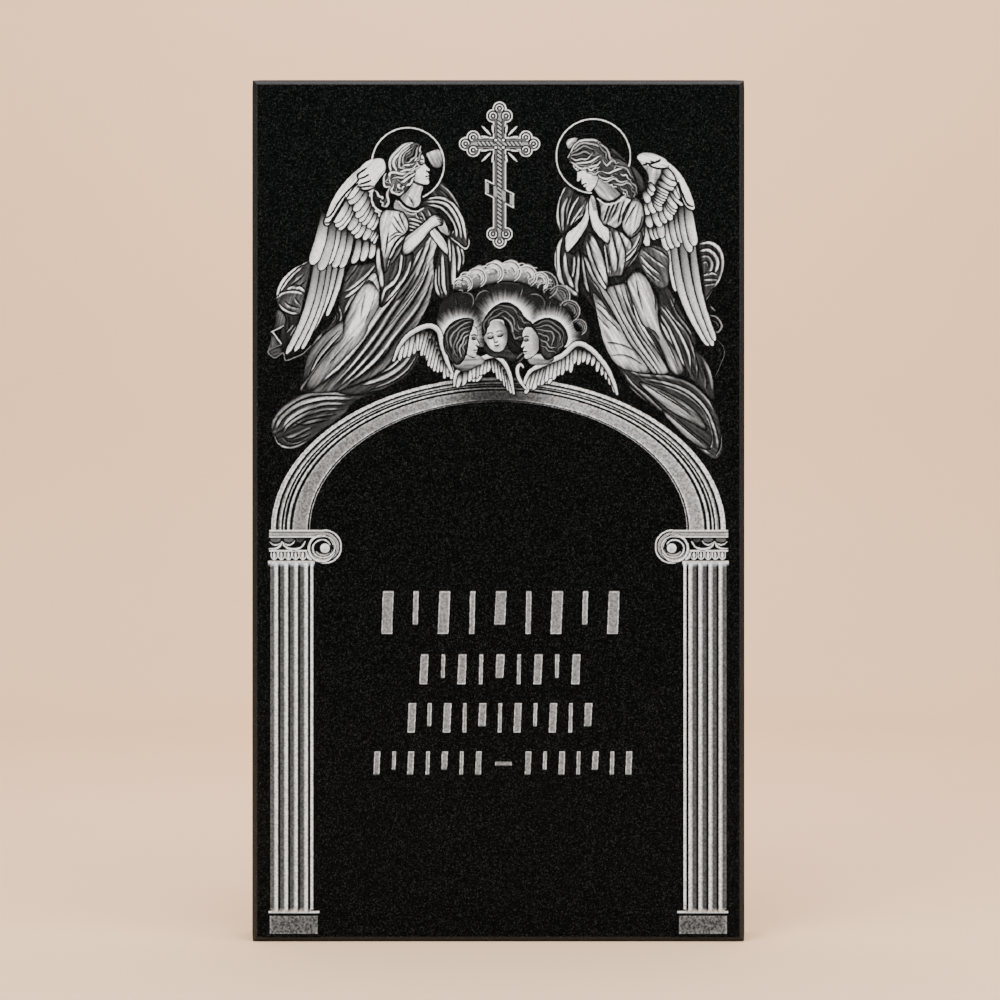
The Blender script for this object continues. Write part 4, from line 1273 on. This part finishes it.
def makeGraniteGrain():
    tree = bpy.data.node_groups.new("graniteGrain", "ShaderNodeTree")
    inputs = [
        ("Dark", "NodeSocketColor", (0.004, 0.004, 0.004, 1)),
        ("Speck", "NodeSocketColor", (0.03, 0.03, 0.03, 1)),
        ("Amount", "NodeSocketFloat", 1.0),
    ]
    groupSockets(tree, inputs, [("Color", "NodeSocketColor"), ("Mask", "NodeSocketFloat")])
    new = tree.nodes.new
    link = tree.links.new
    source, out = new("NodeGroupInput"), new("NodeGroupOutput")
    place = new("ShaderNodeTexCoord")
    crystals = new("ShaderNodeTexVoronoi")
    crystals.inputs["Scale"].default_value = 800
    flecks = new("ShaderNodeTexNoise")
    flecks.inputs["Scale"].default_value = 640
    flecks.inputs["Detail"].default_value = 3
    flecks.inputs["Roughness"].default_value = 0.65
    for texture in (crystals, flecks):
        link(place.outputs["Object"], texture.inputs["Vector"])
    pick = new("ShaderNodeMapRange")
    pick.inputs["From Min"].default_value = 0.5
    pick.inputs["From Max"].default_value = 0.74
    link(flecks.outputs["Fac"], pick.inputs["Value"])
    shine = new("ShaderNodeSeparateColor")
    link(crystals.outputs["Color"], shine.inputs["Color"])
    both = new("ShaderNodeMath")
    both.operation = "MULTIPLY"
    link(pick.outputs["Result"], both.inputs[0])
    link(shine.outputs["Red"], both.inputs[1])
    scaled = new("ShaderNodeMath")
    scaled.operation = "MULTIPLY"
    scaled.use_clamp = True
    link(both.outputs[0], scaled.inputs[0])
    link(source.outputs["Amount"], scaled.inputs[1])
    blend = new("ShaderNodeMix")
    blend.data_type = "RGBA"
    link(scaled.outputs[0], blend.inputs["Factor"])
    link(source.outputs["Dark"], blend.inputs[6])
    link(source.outputs["Speck"], blend.inputs[7])
    link(blend.outputs[2], out.inputs["Color"])
    link(scaled.outputs[0], out.inputs["Mask"])
    return tree


granite = {"dark": (0.0012, 0.0016, 0.0017, 1), "speck": (0.026, 0.031, 0.033, 1), "gloss": 0.2,
    "reflect": 0.015, "specks": 1.5}
honed = {"dark": (0.0085, 0.0095, 0.0105, 1), "speck": (0.05, 0.054, 0.056, 1), "gloss": 0.34,
    "reflect": 0.1, "specks": 1.4}
frosted = {"stone": (0.81, 0.9, 1.0, 1), "gamma": 2.9, "rough": 0.8}


def startMaterial(name):
    material = bpy.data.materials.new(name)
    material.use_nodes = True
    nodes = material.node_tree.nodes
    return material, nodes, material.node_tree.links.new, nodes["Principled BSDF"]


def placeGrain(nodes, look):
    grain = nodes.new("ShaderNodeGroup")
    grain.node_tree = grainGroup
    grain.inputs["Dark"].default_value = look["dark"]
    grain.inputs["Speck"].default_value = look["speck"]
    grain.inputs["Amount"].default_value = look["specks"]
    return grain


def makePolished(name, look):
    material, nodes, link, shader = startMaterial(name)
    grain = placeGrain(nodes, look)
    link(grain.outputs["Color"], shader.inputs["Base Color"])
    rough = nodes.new("ShaderNodeMapRange")
    rough.inputs["To Min"].default_value = look["gloss"]
    rough.inputs["To Max"].default_value = look["gloss"] + 0.12
    link(grain.outputs["Mask"], rough.inputs["Value"])
    link(rough.outputs["Result"], shader.inputs["Roughness"])
    shader.inputs["Specular IOR Level"].default_value = look["reflect"]
    return material


def makeEngraved(name):
    material, nodes, link, shader = startMaterial(name)
    grain = placeGrain(nodes, granite)
    cut = nodes.new("ShaderNodeAttribute")
    cut.attribute_name = "tone"
    grit = nodes.new("ShaderNodeAttribute")
    grit.attribute_name = "grit"
    place = nodes.new("ShaderNodeTexCoord")
    peck = nodes.new("ShaderNodeTexNoise")      # the pecked dots of the cutting needle
    peck.inputs["Scale"].default_value = 360
    peck.inputs["Detail"].default_value = 2
    link(place.outputs["Object"], peck.inputs["Vector"])
    dots = nodes.new("ShaderNodeMapRange")
    dots.inputs["From Min"].default_value = 0.36
    dots.inputs["From Max"].default_value = 0.64
    dots.inputs["To Min"].default_value = -1
    dots.inputs["To Max"].default_value = 0.7
    link(peck.outputs["Fac"], dots.inputs["Value"])
    pecks = nodes.new("ShaderNodeMath")
    pecks.operation = "MULTIPLY_ADD"
    link(dots.outputs["Result"], pecks.inputs[0])
    link(grit.outputs["Fac"], pecks.inputs[1])
    pecks.inputs[2].default_value = 1
    curveTone = nodes.new("ShaderNodeMath")
    curveTone.operation = "POWER"
    curveTone.inputs[1].default_value = frosted["gamma"]
    link(cut.outputs["Fac"], curveTone.inputs[0])
    pecked = nodes.new("ShaderNodeMath")
    pecked.operation = "MULTIPLY"
    pecked.use_clamp = True
    link(curveTone.outputs[0], pecked.inputs[0])
    link(pecks.outputs[0], pecked.inputs[1])
    colour = nodes.new("ShaderNodeMix")
    colour.data_type = "RGBA"
    link(pecked.outputs[0], colour.inputs["Factor"])
    link(grain.outputs["Color"], colour.inputs[6])
    colour.inputs[7].default_value = frosted["stone"]
    link(colour.outputs[2], shader.inputs["Base Color"])
    rough = nodes.new("ShaderNodeMapRange")
    rough.inputs["From Max"].default_value = 0.25
    rough.inputs["To Min"].default_value = granite["gloss"]
    rough.inputs["To Max"].default_value = frosted["rough"]
    link(cut.outputs["Fac"], rough.inputs["Value"])
    link(rough.outputs["Result"], shader.inputs["Roughness"])
    shader.inputs["Specular IOR Level"].default_value = granite["reflect"]
    return material


grainGroup = makeGraniteGrain()
polishedGranite = makePolished("polished_black_granite", granite)
honedGranite = makePolished("honed_granite_edge", honed)
engravedGranite = makeEngraved("engraved_granite")
print("materials made")


# engraved tiles
millimetre = 0.001
stone = {"wide": 0.600, "high": 1.050, "thick": 0.080, "chamfer": 0.006, "cornerEase": 0.0005,
    "arris": 0.0008}
tile = {"cell": 6.0, "inset": 0.0016, "depth": 0.0005, "quiet": 3}
frontY = -stone["thick"] / 2
perCell = int(round(tile["cell"] / face["pitch"]))
cellsAcross, cellsUp = face["columns"] // perCell, face["rows"] // perCell
cuts = {
    "left_wing": (7, 7),
    "left_angel": (7, 7),
    "right_wing": (7, 7),
    "right_angel": (7, 7),
    "child_heads": (7, 7),
    "cross": (9, 9), "arch": (7, 7), "column_shafts": (9, 0), "capitals": (7, 7), "inscription": (6, 4),
}
grits = {"arch": 0.5, "capitals": 0.25, "column_shafts": 0.4, "inscription": 0.4, "plinths": 0.75}


def cellOwners():
    drawn = tone > 0.015
    wide = drawn.copy()
    for step in range(1, tile["quiet"] + 1):      # a clear polished margin round every motif
        wide[step:] |= drawn[:-step]
        wide[:-step] |= drawn[step:]
    drawn = wide.copy()
    for step in range(1, tile["quiet"] + 1):
        wide[:, step:] |= drawn[:, :-step]
        wide[:, :-step] |= drawn[:, step:]

    def byCell(mask):
        whole = mask[: cellsUp * perCell, : cellsAcross * perCell]
        return whole.reshape(cellsUp, perCell, cellsAcross, perCell)
    busy = byCell(wide).any(axis=(1, 3))
    votes = []
    for k in range(1, len(motifs)):
        votes.append(byCell(owner == k).sum(axis=(1, 3)))
    votes = np.array(votes)
    best = votes.argmax(0) + 1
    best[votes.max(0) == 0] = 0
    for _ in range(2):      # margin cells join the motif beside them
        for dz, dx in ((0, 1), (0, -1), (1, 0), (-1, 0)):
            beside = np.roll(best, (dz, dx), (0, 1))
            best = np.where(busy & (best == 0), beside, best)
    return np.where(busy, best, 0)


def vertsOf(geometry):
    return [g for g in geometry if isinstance(g, bmesh.types.BMVert)]


def gridOnFace(bm, left, bottom, across, up, y):
    width, height = across * tile["cell"] * millimetre, up * tile["cell"] * millimetre
    middle = Vector((left + width / 2, y, bottom + height / 2))
    turn = Matrix.Rotation(math.pi / 2, 4, "X")
    place = Matrix.Translation(middle) @ turn @ Matrix.Diagonal((width, height, 1, 1))
    bmesh.ops.create_grid(bm, x_segments=across, y_segments=up, size=0.5, matrix=place)


def cellOf(centre):
    column = int((centre.x / millimetre - face["left"]) // tile["cell"])
    row = int((centre.z / millimetre - face["bottom"]) // tile["cell"])
    return row, column


def toneAt(x, z):
    column = (x / millimetre - face["left"]) / face["pitch"] - 0.5
    row = (z / millimetre - face["bottom"]) / face["pitch"] - 0.5
    total = 0
    for dz in (-0.5, 0.5):
        for dx in (-0.5, 0.5):
            c = np.clip(np.floor(column + dx + 0.5).astype(int), 0, face["columns"] - 1)
            r = np.clip(np.floor(row + dz + 0.5).astype(int), 0, face["rows"] - 1)
            total = total + tone[r, c]
    return total / 4


def engraveTile(name, cells):
    mine = cells == motifs.index(name)
    rows, columns = np.nonzero(mine)
    bm = bmesh.new()
    left = (face["left"] + columns.min() * tile["cell"]) * millimetre
    bottom = (face["bottom"] + rows.min() * tile["cell"]) * millimetre
    gridOnFace(bm, left, bottom, int(np.ptp(columns)) + 1, int(np.ptp(rows)) + 1, frontY + tile["inset"])
    spare = [f for f in bm.faces if not mine[cellOf(f.calc_center_median())]]
    bmesh.ops.delete(bm, geom=spare, context="FACES")
    lifted = bmesh.ops.extrude_face_region(bm, geom=bm.faces[:], use_keep_orig=True)["geom"]
    bmesh.ops.translate(bm, vec=(0, -tile["inset"], 0), verts=vertsOf(lifted))
    bmesh.ops.recalc_face_normals(bm, faces=bm.faces)

    def frontEdges(axis):
        return [e for e in bm.edges if abs(e.verts[0].co[axis] - e.verts[1].co[axis]) > 1e-6
                and max(v.co.y for v in e.verts) < frontY + 1e-5]
    cutsAcross, cutsUp = cuts[name]
    if cutsAcross:
        bmesh.ops.subdivide_edges(bm, edges=frontEdges(0), cuts=cutsAcross, use_grid_fill=True)
    if cutsUp:
        bmesh.ops.subdivide_edges(bm, edges=frontEdges(2), cuts=cutsUp, use_grid_fill=True)
    mesh = bpy.data.meshes.new("engraving_" + name)
    bm.to_mesh(mesh)
    bm.free()
    points = np.empty(len(mesh.vertices) * 3)
    mesh.vertices.foreach_get("co", points)
    points = points.reshape(-1, 3)
    front = points[:, 1] < frontY + 1e-5
    level = np.where(front, toneAt(points[:, 0], points[:, 2]), 0)
    points[:, 1] += tile["depth"] * level
    mesh.vertices.foreach_set("co", points.ravel())
    mesh.attributes.new("tone", "FLOAT", "POINT").data.foreach_set("value", level.astype(np.float32))
    rough = np.where(points[:, 2] < 0.034, grits["plinths"], grits.get(name, 0.18))
    mesh.attributes.new("grit", "FLOAT", "POINT").data.foreach_set("value", rough.astype(np.float32))
    # the front fills the bake sheet, the hidden sides and back share a strip along its top
    spot = np.empty(len(mesh.loops), np.int64)
    mesh.loops.foreach_get("vertex_index", spot)
    low, span = points.min(0), np.ptp(points, axis=0)
    flat = np.stack([(points[:, 0] - low[0]) / span[0], (points[:, 2] - low[2]) / span[2] * 0.96], 1)[spot]
    normals = np.empty(len(mesh.polygons) * 3)
    mesh.polygons.foreach_get("normal", normals)
    count = np.empty(len(mesh.polygons), np.int64)
    mesh.polygons.foreach_get("loop_total", count)
    hidden = np.repeat(normals.reshape(-1, 3)[:, 1] > -0.3, count)
    flat[hidden, 1] = 0.97 + 0.03 * flat[hidden, 1]
    mesh.uv_layers.new(name="OFBake").data.foreach_set("uv", flat.ravel())
    mesh.polygons.foreach_set("use_smooth", normals.reshape(-1, 3)[:, 1] < -0.3)
    mesh.materials.append(engravedGranite)
    mesh.update()
    piece = bpy.data.objects.new("engraving_" + name, mesh)
    bpy.context.scene.collection.objects.link(piece)
    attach(piece, "root")
    mesh.calc_loop_triangles()
    print("engraved", name, int(mine.sum()), "cells,", len(mesh.loop_triangles), "triangles")
    return piece


cells = cellOwners()
for name in motifs[1:]:
    engraveTile(name, cells)


# slab
def buildStele(cells):
    bm = bmesh.new()
    left, bottom = face["left"] * millimetre, face["bottom"] * millimetre
    gridOnFace(bm, left, bottom, cellsAcross, cellsUp, frontY)
    ring = [e for e in bm.edges if e.is_boundary]
    pocket = [f for f in bm.faces if cells[cellOf(f.calc_center_median())]]
    sunk = bmesh.ops.extrude_face_region(bm, geom=pocket)["geom"]
    bmesh.ops.delete(bm, geom=pocket, context="FACES")
    bmesh.ops.translate(bm, vec=(0, tile["inset"], 0), verts=vertsOf(sunk))

    def outward(edges, y, spread):
        made = bmesh.ops.extrude_edge_only(bm, edges=edges)["geom"]
        verts = vertsOf(made)
        halfWide, middle, halfHigh = stone["wide"] / 2, stone["high"] / 2, stone["high"] / 2
        for v in verts:
            atSide = abs(abs(v.co.x) - abs(left)) < 1e-5
            atEnd = min(abs(v.co.z - bottom), abs(v.co.z - stone["high"] + bottom)) < 1e-5
            if spread and atSide:
                v.co.x = math.copysign(halfWide - (stone["cornerEase"] if atEnd else 0), v.co.x)
            if spread and atEnd:
                ease = stone["cornerEase"] if atSide else 0
                v.co.z = middle + math.copysign(halfHigh - ease, v.co.z - middle)
            v.co.y = y
        edges = [g for g in made if isinstance(g, bmesh.types.BMEdge)]
        return [e for e in edges if all(v in verts for v in e.verts)], verts
    arris = list(ring)
    chamferEdge, _ = outward(ring, frontY + stone["chamfer"], True)
    sideEdge, _ = outward(chamferEdge, -frontY - stone["chamfer"], False)
    backEdge, backVerts = outward(sideEdge, -frontY, False)
    for v in backVerts:
        v.co.x *= (stone["wide"] / 2 - stone["chamfer"]) / (stone["wide"] / 2)
        v.co.z = stone["high"] / 2 + (v.co.z - stone["high"] / 2) * (1 - 2 * stone["chamfer"] / stone["high"])
    bmesh.ops.contextual_create(bm, geom=backEdge)
    bmesh.ops.recalc_face_normals(bm, faces=bm.faces)
    bmesh.ops.bevel(
        bm, geom=arris, affect="EDGES", offset=stone["arris"], segments=2, profile=0.5, material=-1)
    for f in bm.faces:
        tilt, depth = abs(f.normal.y), f.calc_center_median().y
        onSide = tilt <= 0.2 and depth > frontY + stone["chamfer"] / 2
        f.material_index = 1 if onSide or 0.2 < tilt < 0.99 else 0
    mesh = bpy.data.meshes.new("stele_stone")
    bm.to_mesh(mesh)
    bm.free()
    mesh.materials.append(polishedGranite)
    mesh.materials.append(honedGranite)
    piece = bpy.data.objects.new("stele_stone", mesh)
    bpy.context.scene.collection.objects.link(piece)
    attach(piece, "root")
    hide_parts("stele")
    print("slab built:", len(mesh.polygons), "faces")
    return piece


buildStele(cells)

# studio
studio = {
    "paper": (0.96, 0.675, 0.44, 1), "near": -9.0, "far": 2.7, "wide": 12.0, "cove": 0.8, "wall": 4.5,
    "camera": (0.002, -2.9125, 0.538), "lens": 85, "sensor": 36,
}


def makePaper():
    material, nodes, link, shader = startMaterial("studio_paper")
    place = nodes.new("ShaderNodeTexCoord")
    cloudy = nodes.new("ShaderNodeTexNoise")
    cloudy.inputs["Scale"].default_value = 2.2
    cloudy.inputs["Detail"].default_value = 4
    link(place.outputs["Object"], cloudy.inputs["Vector"])
    tint = nodes.new("ShaderNodeMix")
    tint.data_type = "RGBA"
    tint.inputs[6].default_value = tuple(0.97 * v for v in studio["paper"][:3]) + (1,)
    tint.inputs[7].default_value = tuple(min(1, 1.03 * v) for v in studio["paper"][:3]) + (1,)
    link(cloudy.outputs["Fac"], tint.inputs["Factor"])
    link(tint.outputs[2], shader.inputs["Base Color"])
    shader.inputs["Roughness"].default_value = 0.9
    shader.inputs["Specular IOR Level"].default_value = 0.1
    return material


def buildSweep():
    # the wall stands far enough back for a camera to pass behind the stone
    bm = bmesh.new()
    a = bm.verts.new((-studio["wide"] / 2, studio["near"], 0))
    b = bm.verts.new((-studio["wide"] / 2, studio["far"], 0))
    bm.edges.new((a, b))
    turned = bmesh.ops.spin(
        bm, geom=[b], cent=(0, studio["far"], studio["cove"]), axis=(1, 0, 0), dvec=(0, 0, 0),
        angle=math.pi / 2, steps=16)["geom_last"]
    up = bmesh.ops.extrude_vert_indiv(bm, verts=vertsOf(turned))["verts"]
    bmesh.ops.translate(bm, vec=(0, 0, studio["wall"]), verts=up)
    bmesh.ops.remove_doubles(bm, verts=bm.verts, dist=1e-5)
    sheet = bmesh.ops.extrude_edge_only(bm, edges=bm.edges[:])["geom"]
    bmesh.ops.translate(bm, vec=(studio["wide"], 0, 0), verts=vertsOf(sheet))
    bmesh.ops.recalc_face_normals(bm, faces=bm.faces)
    mesh = bpy.data.meshes.new("studio_sweep")
    bm.to_mesh(mesh)
    bm.free()
    mesh.shade_smooth()
    mesh.materials.append(makePaper())
    sweep = bpy.data.objects.new("studio_sweep", mesh)
    bpy.context.scene.collection.objects.link(sweep)


lamps = [
    dict(name="overhead_soft", at=(0.0, -1.4, 3.4), to=(0.0, -0.2, 0.2), size=2.6, power=124,
        colour=(1, 0.97, 0.94)),
    dict(name="left_soft", at=(-1.9, -2.7, 2.1), to=(0.0, 0.0, 0.55), size=1.8, power=68,
        colour=(1, 0.98, 0.96)),
    dict(name="right_soft", at=(2.8, -1.5, 1.7), to=(0.0, 0.0, 0.5), size=1.8, power=51,
        colour=(1, 0.98, 0.97)),
    dict(name="back_wash", at=(0.0, 1.2, 3.8), to=(0.0, 3.5, 0.9), size=2.4, power=106,
        colour=(1, 0.98, 0.96)),
]


def lightStudio():
    for lamp in lamps:
        data = bpy.data.lights.new(lamp["name"], "AREA")
        data.size = lamp["size"]
        data.energy = lamp["power"]
        data.color = lamp["colour"]
        light = bpy.data.objects.new(lamp["name"], data)
        light.location = lamp["at"]
        light.rotation_euler = (Vector(lamp["to"]) - Vector(lamp["at"])).to_track_quat("-Z", "Y").to_euler()
        light.visible_camera = False
        bpy.context.scene.collection.objects.link(light)
    world = bpy.data.worlds.new("studio_air")
    world.use_nodes = True
    air = world.node_tree.nodes["Background"]
    air.inputs["Color"].default_value = (0.97, 0.9, 0.84, 1)
    air.inputs["Strength"].default_value = 0.6
    bpy.context.scene.world = world


def placeCamera():
    data = bpy.data.cameras.new("front_camera")
    data.lens = studio["lens"]
    data.sensor_width = studio["sensor"]
    camera = bpy.data.objects.new("front_camera", data)
    camera.location = studio["camera"]
    camera.rotation_euler = (math.pi / 2, 0, 0)
    bpy.context.scene.collection.objects.link(camera)
    bpy.context.scene.camera = camera


buildSweep()
lightStudio()
placeCamera()
print("studio set")
